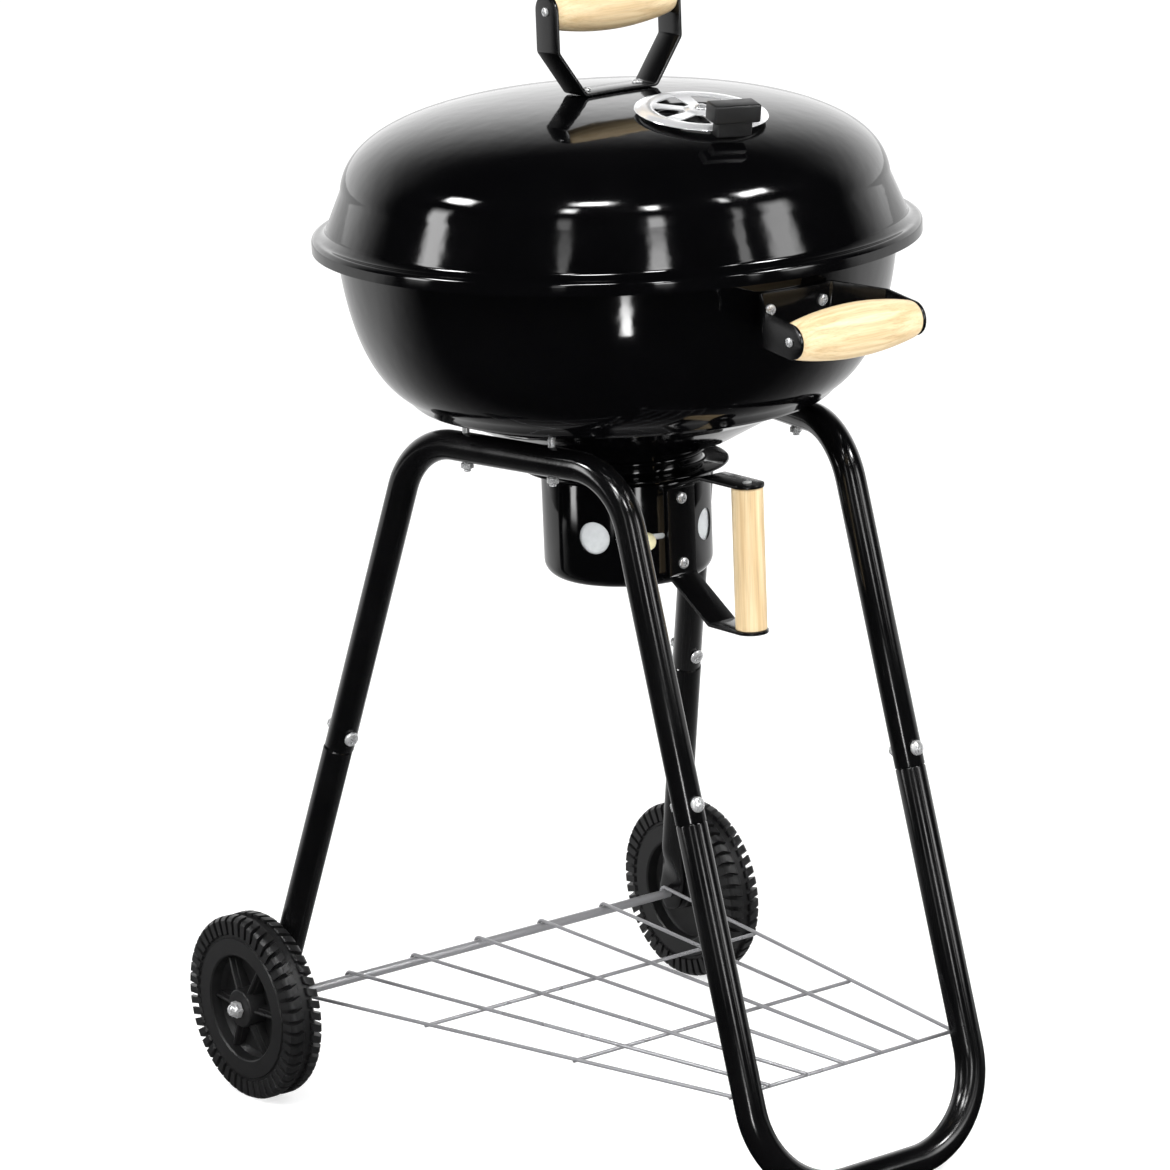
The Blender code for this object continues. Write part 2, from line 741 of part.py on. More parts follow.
def make_ash_collar():
    """Neck under the bowl with two beads, a wide disc over the can, and a skirt that the can slips onto."""
    top = SUMP_Z - GAP
    neck_r = SUMP_R - 0.004
    disc_z = CAN_TOP_Z + 0.0065
    skirt_r = (CAN_R - SHEET) * math.cos(math.pi / ROUND_STEPS) - 0.0005
    outline = [
        (neck_r, top),
        (neck_r, top - 0.0065),
        (neck_r + 0.0022, top - 0.0090),
        (neck_r, top - 0.0112),
        (neck_r, disc_z + 0.0030),
        (neck_r + 0.002, disc_z + 0.0012),
        (COLLAR_DISC_R - 0.002, disc_z + 0.0014),
        (COLLAR_DISC_R, disc_z),
        (COLLAR_DISC_R - 0.001, disc_z - 0.0016),
        (COLLAR_DISC_R - 0.003, disc_z - 0.0010),
        (skirt_r, disc_z - 0.0010),
        (skirt_r, CAN_TOP_Z - 0.008),
        (skirt_r - SHEET, CAN_TOP_Z - 0.008),
        (skirt_r - SHEET, disc_z),
        (neck_r - SHEET, disc_z + 0.0020),
        (neck_r - SHEET, top),
    ]
    return turned("ash_collar", outline, ENAMEL, closed=True)


def make_ash_catcher():
    edge = arc((CAN_R - CAN_EDGE_R, CAN_BOTTOM_Z + CAN_EDGE_R), CAN_EDGE_R, 0, -90, 4)
    outline = [(CAN_R, CAN_TOP_Z)] + edge + [(0, CAN_BOTTOM_Z)]
    can = turned("ash_catcher", outline, ENAMEL, wall=SHEET)
    cut(can, air_hole_drills("ash_catcher_holes", AIR_HOLE_DEG))

    middle = (SLOT_FROM_DEG + SLOT_TO_DEG) / 2
    half = CAN_R * math.sin(math.radians(SLOT_TO_DEG - SLOT_FROM_DEG) / 2) - SLOT_HALF_HEIGHT
    outline = arc((half, 0), SLOT_HALF_HEIGHT, -90, 90, 4) + arc((-half, 0), SLOT_HALF_HEIGHT, 90, 270, 4)
    slot = plate("ash_catcher_slot", [outline], 0.03)
    away = Vector((math.cos(math.radians(middle)), math.sin(math.radians(middle)), 0))
    slot.matrix_world = facing(away * CAN_R + Vector((0, 0, AIR_Z)), away)
    cut(can, slot)
    return can


def air_hole_drills(name, first_deg):
    """Four radial drills, a quarter turn apart, for the can's air holes or its damper's windows."""
    ends = []
    for i in range(4):
        angle = math.radians(first_deg + 90 * i)
        away = Vector((math.cos(angle), math.sin(angle), 0))
        level = Vector((0, 0, AIR_Z))
        ends.append((away * 0.5 * CAN_R + level, away * 1.3 * CAN_R + level))
    return rods(name, ends, AIR_HOLE_R, segments=12)


def make_ash_damper(can):
    """A sleeve inside the can, whose windows meet the can's holes when it is turned, and its knob."""
    outer = (CAN_R - SHEET) * math.cos(math.pi / ROUND_STEPS) - GAP
    wall = 0.0010
    half = AIR_HOLE_R + 0.004
    outline = [(outer, half), (outer, -half), (outer - wall, -half), (outer - wall, half)]
    sleeve = turned("ash_damper", [(r, z + AIR_Z) for r, z in outline], GALVANISED, closed=True)
    cut(sleeve, air_hole_drills("ash_damper_windows", AIR_HOLE_DEG + 24))

    stem = 0.002
    away = Vector((math.cos(math.radians(KNOB_DEG)), math.sin(math.radians(KNOB_DEG)), 0))
    ball_at = CAN_R + 0.0139
    head = outer - wall - 2 * GAP
    ball = arc((0, ball_at), KNOB_R, 90, -68, 5)
    outline = ball + [(stem, ball_at - 0.0070), (stem, head), (0.0038, head), (0.0038, head - 0.0015)]
    outline.append((0, head - 0.0015))
    outline[0] = (0, ball_at + KNOB_R)
    knob = turned("ash_damper_knob", outline, KNOB, segments=12)
    knob.matrix_world = facing((0, 0, AIR_Z), away)
    rivet_at = Vector((0, 0, AIR_Z)) + away * outer
    hole_through(sleeve, "ash_damper_knob_hole", rivet_at, away, stem + GAP, 0.01, 0.01)
    return sleeve, knob


def make_ash_handle(can):
    """The strap on the can, its upright wooden grip, two bolts through the can and two grip screws."""
    wall_y = -CAN_R - GAP - STRAP / 2
    upper_z = CAN_TOP_Z + 0.012
    lower_z = CAN_BOTTOM_Z - 0.023
    path = [
        Vector((0, ASH_GRIP_Y - STRAP_HALF_WIDTH, upper_z)),
        Vector((0, -COLLAR_DISC_R - 0.028, upper_z)),
        Vector((0, wall_y, CAN_TOP_Z - 0.003)),
        Vector((0, wall_y, CAN_BOTTOM_Z + 0.0085)),
        Vector((0, -COLLAR_DISC_R - 0.035, lower_z)),
        Vector((0, ASH_GRIP_Y - STRAP_HALF_WIDTH, lower_z)),
    ]
    path, widths = round_ended(rounded(path, 0.004, 2), STRAP_HALF_WIDTH)
    bracket = strap("ash_handle_strap", path, Vector((1, 0, 0)), widths, PAINTED)

    top = upper_z - STRAP / 2 - GAP
    bottom = lower_z + STRAP / 2 + GAP
    pilot = GRIP_SCREW_R + GAP
    depth = GRIP_SCREW_LENGTH
    outline = [(0, top - depth), (pilot, top - depth), (pilot, top), (ASH_GRIP_R - 0.001, top)]
    outline += [(ASH_GRIP_R, top - 0.001), (ASH_GRIP_R, bottom + 0.001), (ASH_GRIP_R - 0.001, bottom)]
    outline += [(pilot, bottom), (pilot, bottom + depth), (0, bottom + depth)]
    grip = turned("ash_handle_grip", outline, WOOD, segments=16)
    grip.location = (0, ASH_GRIP_Y, 0)

    pieces = [bracket, grip]
    for z, away, word in ((upper_z, 1, "top"), (lower_z, -1, "bottom")):
        seat = Vector((0, ASH_GRIP_Y, z + away * (STRAP / 2 + GAP)))
        name = f"ash_handle_grip_screw_{word}"
        pieces.append(fastener(name, seat, (0, 0, away), GRIP_SCREW_R, depth, ZINC, nut=False))
        hole_through(bracket, f"ash_handle_ear_{word}", seat, (0, 0, 1), pilot, 0.005, 0.005)
    for z, word in ((CAN_TOP_Z - 0.013, "upper"), (CAN_BOTTOM_Z + 0.0185, "lower")):
        seat = Vector((0, wall_y - STRAP / 2 - GAP, z))
        grip_length = STRAP + SHEET + BOLT_SLACK
        bolt = fastener(f"ash_handle_bolt_{word}", seat, (0, -1, 0), HANDLE_BOLT_R, grip_length, ZINC)
        pieces.append(bolt)
        for piece, label in ((bracket, "strap"), (can, "can")):
            name = f"ash_handle_{label}_drill_{word}"
            hole_through(piece, name, seat, (0, 1, 0), HANDLE_BOLT_R + GAP, 0.004, 0.012)
    return pieces


# ---------------------------------------------------------------- stand


def along_leg(top, foot, z):
    """Point of a straight leg at one height."""
    return top + (foot - top) * ((top.z - z) / (top.z - foot.z))


def leg_lines(side):
    """Ends of the front and the rear leg's centre line on one side: corner of the top run, and foot."""
    front_top = Vector((side * RUN_FRONT_X, RUN_FRONT_Y, FRAME_TOP_Z))
    front_foot = Vector((side * FLOOR_RUN_X, FLOOR_RUN_Y, FLOOR_RUN_Z))
    rear_top = Vector((side * RUN_REAR_X, RUN_REAR_Y, FRAME_TOP_Z))
    rear_foot = Vector((side * LEG_END_X, AXLE_Y, AXLE_Z))
    return (front_top, front_foot), (rear_top, rear_foot)


def joint_axis(line):
    """Direction of a joint's bolt: square to the leg, in the plane that holds the leg and Y."""
    leg = (line[1] - line[0]).normalized()
    forward = Vector((0, -1, 0))
    return (forward - leg * forward.dot(leg)).normalized()


def make_upper_tube(side, word):
    front, rear = leg_lines(side)
    front_end = along_leg(*front, JOINT_Z) + (front[1] - front[0]).normalized() * JOINT_LAP
    rear_end = along_leg(*rear, JOINT_Z) + (rear[1] - rear[0]).normalized() * JOINT_LAP
    path = rounded([front_end, front[0], rear[0], rear_end], BEND_R, 5)
    tube = bent_tube(f"upper_tube_{word}", path, TUBE_R, PAINTED)
    for line, end, label in ((front, front_end, "front"), (rear, rear_end, "rear")):
        way = (line[0] - line[1]).normalized()
        deep = 2 * JOINT_LAP + 0.004
        hole_through(tube, f"{label}_bore_{word}", end, way, TUBE_BORE_R, 0.005, deep)
        hole_through(tube, f"{label}_joint_drill_{word}", along_leg(*line, JOINT_Z), joint_axis(line),
                     BOLT_R + GAP, 0.02, 0.02)
    return tube


def add_spigot(tube, name, line):
    """Joins a swaged end to a lower tube, drilled for the joint bolt. It fills the upper tube's bore."""
    way = (line[0] - line[1]).normalized()
    joint = along_leg(*line, JOINT_Z)
    start = joint - way * (JOINT_LAP + 0.006)
    spigot = rod(f"{name}_spigot", start, joint + way * JOINT_LAP, spigot_radius())
    join(tube, spigot)
    hole_through(tube, f"{name}_spigot_drill", joint, joint_axis(line), BOLT_R + GAP, 0.02, 0.02)


def spigot_radius():
    return TUBE_BORE_R * math.cos(math.pi / TUBE_SIDES) - GAP


def make_front_floor_tube():
    ends = []
    lines = {}
    for side in (-1, 1):
        line = leg_lines(side)[0]
        way = (line[1] - line[0]).normalized()
        ends.append(along_leg(*line, JOINT_Z) + way * (JOINT_LAP + GAP))
        lines[side] = line
    path = rounded([ends[0], lines[-1][1], lines[1][1], ends[1]], FLOOR_BEND_R, 6)
    tube = bent_tube("front_floor_tube", path, TUBE_R, PAINTED)
    for side, word in ((-1, "left"), (1, "right")):
        add_spigot(tube, f"front_floor_tube_{word}", lines[side])
        peg = along_leg(*lines[side], SHELF_FRONT_Z)
        name = f"front_leg_peg_hole_{word}"
        hole_through(tube, name, peg, (0, 1, 0), WIRE_R + 2 * GAP, 0.004, TUBE_R + 0.01)
    slab = Matrix.Translation((0, FLOOR_RUN_Y, -0.01))
    cut(tube, blocks("floor_flat", [slab], (0.4, 0.1, 0.02)))
    return tube


def make_rear_leg(side, word):
    """A straight leg, lofted from its round section to the flattened end that the axle passes through."""
    line = leg_lines(side)[1]
    foot = line[1]
    slope = line[0] - foot
    upright = Vector((0, slope.y, slope.z)).normalized()
    bend = foot + upright * 0.013
    joint = along_leg(line[0], bend, JOINT_Z)
    way = (line[0] - bend).normalized()
    top = joint - way * (JOINT_LAP + GAP)
    wide = LEG_END_HALF_WIDTH
    flat = LEG_END_HALF_THICKNESS
    stations = []
    for angle in (math.radians(76), math.radians(56), math.radians(28)):
        tip = foot - upright * wide * math.sin(angle)
        stations.append((tip, upright, flat, wide * math.cos(angle), 1))
    stations += [
        (foot, upright, flat, wide, 1),
        (bend, upright, flat, wide, 1),
        (bend + way * 0.010, way, between(flat, TUBE_R, 0.25), between(wide, TUBE_R, 0.3), 0.6),
        (bend + way * 0.028, way, between(flat, TUBE_R, 0.85), between(wide, TUBE_R, 0.85), 0.15),
        (bend + way * 0.040, way, TUBE_R, TUBE_R, 0),
        (top, way, TUBE_R, TUBE_R, 0),
    ]
    shape = bmesh.new()
    rings = []
    for centre, heading, thick, half, flatness in stations:
        across = Vector((1, 0, 0))
        across = (across - heading * across.dot(heading)).normalized()
        fore = heading.cross(across)
        ring = []
        for i in range(LEG_SIDES):
            angle = 2 * math.pi * i / LEG_SIDES
            level = max(-1, min(1, math.cos(angle) * between(1, 2.1, flatness)))
            ring.append(shape.verts.new(centre + across * thick * level + fore * half * math.sin(angle)))
        rings.append(ring)
    for lower, upper in zip(rings, rings[1:]):
        for i in range(LEG_SIDES):
            shape.faces.new((lower[i - 1], lower[i], upper[i], upper[i - 1]))
    shape.faces.new(rings[0][::-1])
    shape.faces.new(rings[-1])
    bmesh.ops.recalc_face_normals(shape, faces=shape.faces)
    leg = finished(f"rear_leg_{word}", shape, PAINTED)
    add_spigot(leg, f"rear_leg_{word}", line)
    hole_through(leg, f"rear_leg_axle_hole_{word}", foot, (1, 0, 0), AXLE_R + GAP, 0.01, 0.01)
    return leg


def make_joint_bolts():
    for side, word in ((-1, "left"), (1, "right")):
        for line, label in zip(leg_lines(side), ("front", "rear")):
            axis = joint_axis(line)
            seat = along_leg(*line, JOINT_Z) + axis * (TUBE_R + GAP)
            name = f"{label}_joint_bolt_{word}"
            fastener(name, seat, axis, BOLT_R, 2 * (TUBE_R + GAP), ZINC, head_r=WASHER_R)


def make_bowl_bolts(bowl, tubes):
    """Bolts from inside the bowl down through the top runs of the stand, with nuts under the tubes."""
    floor_slope = (STEP_Z - KNEE_Z) / (STEP_R - KNEE_R)
    for (side, word), tube in zip(((-1, "left"), (1, "right")), tubes):
        for y, label in zip(BOWL_BOLT_Y, ("front", "rear")):
            share = (y - RUN_FRONT_Y) / (RUN_REAR_Y - RUN_FRONT_Y)
            x = side * between(RUN_FRONT_X, RUN_REAR_X, share)
            radius = math.hypot(x, y)
            seat_z = outline_height([(STEP_R, STEP_Z), (KNEE_R, KNEE_Z)], radius)
            seat_z += SHEET / math.cos(math.atan(floor_slope)) + floor_slope * BOWL_BOLT_HEAD_R + GAP
            grip = seat_z - (FRAME_TOP_Z - TUBE_R - GAP)
            name = f"bowl_bolt_{label}_{word}"
            fastener(name, (x, y, seat_z), (0, 0, 1), BOLT_R, grip, ZINC, head_r=BOWL_BOLT_HEAD_R)
            for piece, kind in ((bowl, "bowl"), (tube, "run")):
                hole_through(piece, f"{kind}_drill_{label}_{word}", (x, y, seat_z), (0, 0, 1),
                             BOLT_R + GAP, 0.05, 0.01)


def make_axle():
    reach = WHEEL_INNER_X + WHEEL_WIDTH + 0.006
    return rod("axle", (-reach, AXLE_Y, AXLE_Z), (reach, AXLE_Y, AXLE_Z), AXLE_R, ZINC)


def make_axle_nut(side, word):
    """A domed cap nut on the end of the axle."""
    bore = (AXLE_R + GAP) / math.cos(math.pi / 16)
    outline = [(0, 0.0110), (0.0045, 0.0098), (0.0072, 0.0060), (0.0075, 0)]
    outline += [(bore, 0), (bore, 0.0070), (0, 0.0070)]
    nut = turned(f"axle_nut_{word}", outline, ZINC, segments=16)
    nut.matrix_world = facing((side * (WHEEL_INNER_X + WHEEL_WIDTH + GAP), AXLE_Y, AXLE_Z), (side, 0, 0))
    return nut


def make_wheel(side, word):
    """A moulded wheel about its own Z, which points away from the grill: tread, dish, ribs and hub."""
    bore = (AXLE_R + GAP) / math.cos(math.pi / ROUND_STEPS)
    w = WHEEL_WIDTH
    ring_r = WHEEL_RING_R
    dish_r = WHEEL_DISH_R
    outline = [
        (bore, w),
        (HUB_R - 0.002, w),
        (HUB_R, w - 0.002),
        (HUB_R + 0.001, 0.66 * w),
        (dish_r, 0.74 * w),
        (dish_r + 0.004, w - 0.001),
        (ring_r, w - 0.0004),
        (WHEEL_R, w - 0.0050),
        (WHEEL_R, 0.0030),
        (ring_r, 0.0010),
        (dish_r + 0.003, 0.0030),
        (dish_r, 0.40 * w),
        (HUB_R + 0.001, 0.36 * w),
        (HUB_R, 0),
        (bore, 0),
    ]
    wheel = turned(f"wheel_{word}", outline, PLASTIC, closed=True)
    inner = HUB_R - 0.003
    outer = dish_r + 0.003
    places = []
    for i in range(WHEEL_RIBS):
        turn = Matrix.Rotation(2 * math.pi * i / WHEEL_RIBS, 4, "Z")
        places.append(turn @ Matrix.Translation(((inner + outer) / 2, 0, 0.72 * w)))
    ribs = blocks(f"wheel_ribs_{word}", places, (outer - inner, 0.004, 0.38 * w))
    axis = facing((side * WHEEL_INNER_X, AXLE_Y, AXLE_Z), (side, 0, 0))
    wheel.matrix_world = axis
    ribs.matrix_world = axis
    join(wheel, ribs)
    return wheel


def make_wire_shelf():
    """Seven wires that fan out from the front legs to hooks over the axle, welded to three cross wires."""
    leg_back_y = along_leg(*leg_lines(1)[0], SHELF_FRONT_Z).y + TUBE_R
    front_y = leg_back_y + SHELF_FRONT_GAP
    hook_r = AXLE_R + WIRE_R + GAP
    rear_z = AXLE_Z + hook_r
    shelf = None
    for i in range(SHELF_WIRES):
        share = 2 * i / (SHELF_WIRES - 1) - 1
        front_x, rear_x = share * SHELF_FRONT_X, share * SHELF_REAR_X
        hook = [Vector((rear_x, y, z)) for y, z in arc((AXLE_Y, AXLE_Z), hook_r, 90, -45, 4)]
        path = [Vector((front_x, front_y - 0.003, SHELF_FRONT_Z))] + hook
        if abs(share) == 1:
            peg = along_leg(*leg_lines(share)[0], SHELF_FRONT_Z)
            path = [peg, Vector((peg.x, leg_back_y + 0.003, SHELF_FRONT_Z))] + path
        wire = bent_tube("wire_shelf" if shelf is None else f"shelf_wire_{i}", path, WIRE_R,
                         CHROME if shelf is None else None, resolution=1)
        if shelf is None:
            shelf = wire
            crosses = []
            for step in range(3):
                t = step / 3
                half = between(SHELF_FRONT_X, SHELF_REAR_X, t)
                y = between(front_y, AXLE_Y, t)
                z = between(SHELF_FRONT_Z, rear_z, t) - 1.2 * WIRE_R
                crosses.append(((-half - 0.0005, y, z), (half + 0.0005, y, z)))
            join(shelf, rods("shelf_cross_wires", crosses, WIRE_R))
        else:
            join(shelf, wire)
    return shelf


# ---------------------------------------------------------------- assembly

for old in list(bpy.data.objects):
    bpy.data.objects.remove(old)

PARTS = new_collection("kettle_charcoal_grill", False)
CUTTERS = new_collection("grill_cutters", True)

ENAMEL = new_material("black_enamel", (0.006, 0.006, 0.007), 0.08, 0.0)
PAINTED = new_material("black_paint", (0.012, 0.012, 0.013), 0.25, 0.0)
PLASTIC = new_material("black_plastic", (0.015, 0.015, 0.016), 0.45, 0.0)
WOOD = new_material("pale_wood", (0.72, 0.55, 0.34), 0.50, 0.0)
KNOB = new_material("pale_knob", (0.80, 0.74, 0.55), 0.40, 0.0)
CHROME = new_material("chrome", (0.75, 0.75, 0.76), 0.10, 1.0)
NICKEL = new_material("plated_wire", (0.62, 0.62, 0.62), 0.25, 1.0)
ZINC = new_material("zinc_plate", (0.66, 0.66, 0.66), 0.30, 1.0)
GALVANISED = new_material("galvanised_sheet", (0.55, 0.57, 0.58), 0.40, 1.0)

lid_axis = add_empty("lid_axis", (0, 0, RIM_Z))
ash_axis = add_empty("ash_axis", (0, 0, CAN_TOP_Z))
vent_axis = add_empty("vent_axis", (0, 0, 0))
vent_axis.matrix_world = vent_frame()

bowl_body = make_bowl()
make_bowl_handle("front_handle", 0, bowl_body)
make_bowl_handle("rear_handle", math.pi, bowl_body)
cooking_grate = make_cooking_grate()
charcoal_grate = make_charcoal_grate()
make_grate_brackets()

lid_shell = make_lid()
lid_pieces = make_lid_handle(lid_shell)
vent_disc, vent_grip, vent_rivet = make_lid_vent(lid_shell)
carry(lid_axis, lid_shell, *lid_pieces, vent_rivet, vent_axis)
carry(vent_axis, vent_disc, vent_grip)

make_ash_collar()
ash_can = make_ash_catcher()
damper_sleeve, damper_knob = make_ash_damper(ash_can)
carry(ash_axis, ash_can, damper_sleeve, damper_knob, *make_ash_handle(ash_can))

upper_tubes = [make_upper_tube(-1, "left"), make_upper_tube(1, "right")]
make_front_floor_tube()
make_joint_bolts()
make_bowl_bolts(bowl_body, upper_tubes)
make_axle()
make_wire_shelf()
for way, hand in ((-1, "left"), (1, "right")):
    make_rear_leg(way, hand)
    wheel_axis = add_empty(f"wheel_axis_{hand}", (way * WHEEL_INNER_X, AXLE_Y, AXLE_Z))
    carry(wheel_axis, make_wheel(way, hand), make_axle_nut(way, hand))

for piece in PARTS.objects:
    if piece.type == "MESH":
        piece.data.shade_smooth()
        piece.data.set_sharp_from_angle(angle=math.radians(35))
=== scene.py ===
# %% [markdown]
# # The looks of a kettle charcoal grill
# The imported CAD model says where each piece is, how large it is and what it moves with. This script builds a
# finer piece over each CAD node: round shells, swept tubes, bent straps, turned wood and moulded wheels. It
# then gives every piece a finish, a pale floor and studio light. All sizes are in metres, +Z is up, the
# kettle's own axis is x = y = 0, and the front, with the lid's vent, looks towards -Y.

import json
import math

import bmesh
import bpy
import numpy as np
from mathutils import Matrix, Vector

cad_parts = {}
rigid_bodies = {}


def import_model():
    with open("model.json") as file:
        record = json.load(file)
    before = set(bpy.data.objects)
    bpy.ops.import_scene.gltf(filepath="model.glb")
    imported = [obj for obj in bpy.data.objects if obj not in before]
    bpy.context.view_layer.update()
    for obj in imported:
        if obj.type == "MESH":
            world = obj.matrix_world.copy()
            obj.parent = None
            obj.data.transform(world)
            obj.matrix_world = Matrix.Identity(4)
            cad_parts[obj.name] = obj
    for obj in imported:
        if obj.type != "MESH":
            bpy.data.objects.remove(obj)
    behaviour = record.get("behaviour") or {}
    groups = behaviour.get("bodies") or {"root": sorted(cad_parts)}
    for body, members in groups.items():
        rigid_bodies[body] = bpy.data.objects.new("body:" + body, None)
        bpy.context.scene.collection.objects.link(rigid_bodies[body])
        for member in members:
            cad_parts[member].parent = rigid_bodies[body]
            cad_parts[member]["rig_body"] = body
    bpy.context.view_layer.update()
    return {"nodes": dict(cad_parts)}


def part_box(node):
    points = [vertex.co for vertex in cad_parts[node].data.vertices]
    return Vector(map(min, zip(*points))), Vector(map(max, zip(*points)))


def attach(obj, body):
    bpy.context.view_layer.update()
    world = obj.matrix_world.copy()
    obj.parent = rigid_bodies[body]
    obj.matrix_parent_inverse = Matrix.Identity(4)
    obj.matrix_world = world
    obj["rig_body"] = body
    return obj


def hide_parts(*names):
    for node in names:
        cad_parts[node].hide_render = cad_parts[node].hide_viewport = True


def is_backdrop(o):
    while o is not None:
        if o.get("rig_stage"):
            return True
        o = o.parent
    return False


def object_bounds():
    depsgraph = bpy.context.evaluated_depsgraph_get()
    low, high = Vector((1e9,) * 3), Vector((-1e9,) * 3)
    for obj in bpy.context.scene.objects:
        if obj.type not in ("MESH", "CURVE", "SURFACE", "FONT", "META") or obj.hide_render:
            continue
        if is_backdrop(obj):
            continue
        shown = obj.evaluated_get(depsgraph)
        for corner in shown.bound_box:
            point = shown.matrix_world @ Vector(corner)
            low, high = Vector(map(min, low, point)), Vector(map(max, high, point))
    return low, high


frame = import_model()

# %% [markdown]
# ## Handing pieces over to the frame
# A finished piece has to move with the right CAD body and hide the plain node that it stands for. One helper
# does that for every piece, so that no piece is left behind when a joint moves. The body is read from the
# frame instead of being typed in again.

# %% Hand a piece over
def hand_over(piece, finish, node):
    """The piece gets its finish, moves with the CAD node's body and is shown in its place."""
    piece.data.materials.clear()
    piece.data.materials.append(finish)
    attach(piece, frame["nodes"][node]["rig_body"])
    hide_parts(node)
    low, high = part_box(node)
    print(f"{piece.name}: CAD size {[round(1000 * side) for side in high - low]} mm")


# %% [markdown]
# ## Nodes for the finishes
# Materials in Blender are small graphs. Typing each node and link out makes long cells, so one helper adds a
# node, sets its options and fills its sockets: a socket that is given becomes a link, anything else a value.

# %% Add a node
def add_node(tree, kind, options=None, **sockets):
    node = tree.nodes.new(kind)
    for name, value in (options or {}).items():
        setattr(node, name, value)
    for name, value in sockets.items():
        key = int(name[1:]) if name[0] == "_" else name.replace("_", " ")
        if isinstance(value, bpy.types.NodeSocket):
            tree.links.new(value, node.inputs[key])
        else:
            node.inputs[key].default_value = value
    return node


def start_group(name, inputs, output, output_kind="NodeSocketFloat"):
    """A shader node group with a Place vector, inputs that are numbers or colours, and one output."""
    group = bpy.data.node_groups.new(name, "ShaderNodeTree")
    group.interface.new_socket("Place", in_out="INPUT", socket_type="NodeSocketVector")
    for label, value in inputs.items():
        kind = "NodeSocketFloat" if isinstance(value, float) else "NodeSocketColor"
        socket = group.interface.new_socket(label, in_out="INPUT", socket_type=kind)
        socket.default_value = value
    group.interface.new_socket(output, in_out="OUTPUT", socket_type=output_kind)
    return group, add_node(group, "NodeGroupInput"), add_node(group, "NodeGroupOutput")


print("node helpers ready")

# %% [markdown]
# ## Three effects that the finishes share
# Sprayed and fired coats are never dead flat: they dry with a faint ripple, which bends the edges of
# reflections. It could be sculpted, but a bump from noise costs no faces. The second effect is sheen that
# differs a little from place to place, as on anything that has been wiped and handled. The third drifts
# between two tones of one colour. Each is a node group, because nearly every finish uses them with its own
# numbers.

# %% Ripple, uneven sheen and drifting tone
ripple, taken, given = start_group("ripple of a coat", {"Ripples per metre": 200.0}, "Height")
swell = add_node(ripple, "ShaderNodeTexNoise", Vector=taken.outputs["Place"],
                 Scale=taken.outputs["Ripples per metre"], Detail=1.5, Roughness=0.4)
ripple.links.new(swell.outputs["Fac"], given.inputs["Height"])

sheen, taken, given = start_group(
    "uneven sheen", {"Patches per metre": 20.0, "Least": 0.1, "Most": 0.2}, "Roughness")
patches = add_node(sheen, "ShaderNodeTexNoise", Vector=taken.outputs["Place"],
                   Scale=taken.outputs["Patches per metre"], Detail=5.0, Roughness=0.6)
spread = add_node(sheen, "ShaderNodeMapRange", Value=patches.outputs["Fac"], From_Min=0.35, From_Max=0.65,
                  To_Min=taken.outputs["Least"], To_Max=taken.outputs["Most"])
sheen.links.new(spread.outputs["Result"], given.inputs["Roughness"])

drift, taken, given = start_group(
    "drifting tone", {"Patches per metre": 12.0, "One tone": (0, 0, 0, 1), "Other tone": (1, 1, 1, 1)},
    "Colour", "NodeSocketColor")
clouds = add_node(drift, "ShaderNodeTexNoise", Vector=taken.outputs["Place"],
                  Scale=taken.outputs["Patches per metre"], Detail=3.0)
tones = add_node(drift, "ShaderNodeMix", {"data_type": "RGBA"}, _0=clouds.outputs["Fac"],
                 _6=taken.outputs["One tone"], _7=taken.outputs["Other tone"])
drift.links.new(tones.outputs[2], given.inputs["Colour"])
print("effects:", ripple.name, "/", sheen.name, "/", drift.name)

# %% [markdown]
# ## A coat of any kind
# Enamel, paint, plastic and plating differ in tone, sheen, ripple and metal, but they are put together in the
# same way: tone to Base Color, sheen to Roughness, ripple through a Bump node to Normal. One function lays
# such a coat, so that each finish below is only its numbers and the reason for them.

# %% Lay a coat
def lay_coat(name, tones, rough, ripples, depth, metal=0.0, patches=18.0):
    """tones and rough are (one, other) pairs; ripples is how many ripples a metre, depth their height."""
    finish = bpy.data.materials.new(name)
    finish.use_nodes = True
    tree = finish.node_tree
    shader = tree.nodes["Principled BSDF"]
    shader.inputs["Metallic"].default_value = metal
    place = add_node(tree, "ShaderNodeTexCoord").outputs["Object"]
    colour = add_node(tree, "ShaderNodeGroup", {"node_tree": drift}, Place=place, Patches_per_metre=patches,
                      One_tone=(*tones[0], 1), Other_tone=(*tones[1], 1))
    gloss = add_node(tree, "ShaderNodeGroup", {"node_tree": sheen}, Place=place, Patches_per_metre=patches,
                     Least=rough[0], Most=rough[1])
    waves = add_node(tree, "ShaderNodeGroup", {"node_tree": ripple}, Place=place, Ripples_per_metre=ripples)
    bump = add_node(tree, "ShaderNodeBump", Height=waves.outputs["Height"], Distance=depth, Strength=1.0)
    tree.links.new(colour.outputs["Colour"], shader.inputs["Base Color"])
    tree.links.new(gloss.outputs["Roughness"], shader.inputs["Roughness"])
    tree.links.new(bump.outputs["Normal"], shader.inputs["Normal"])
    return finish


# %% [markdown]
# ## Black coats
# The bowl, lid and ash can are porcelain enamel: glass fused onto steel, so it is near black, mirror smooth
# and only rippled over centimetres. The tubes and straps are sprayed with gloss paint, which is softer and
# has a finer ripple. The wheels and the vent's grip are moulded plastic, grey-black with a fine grain and
# wide, weak highlights.

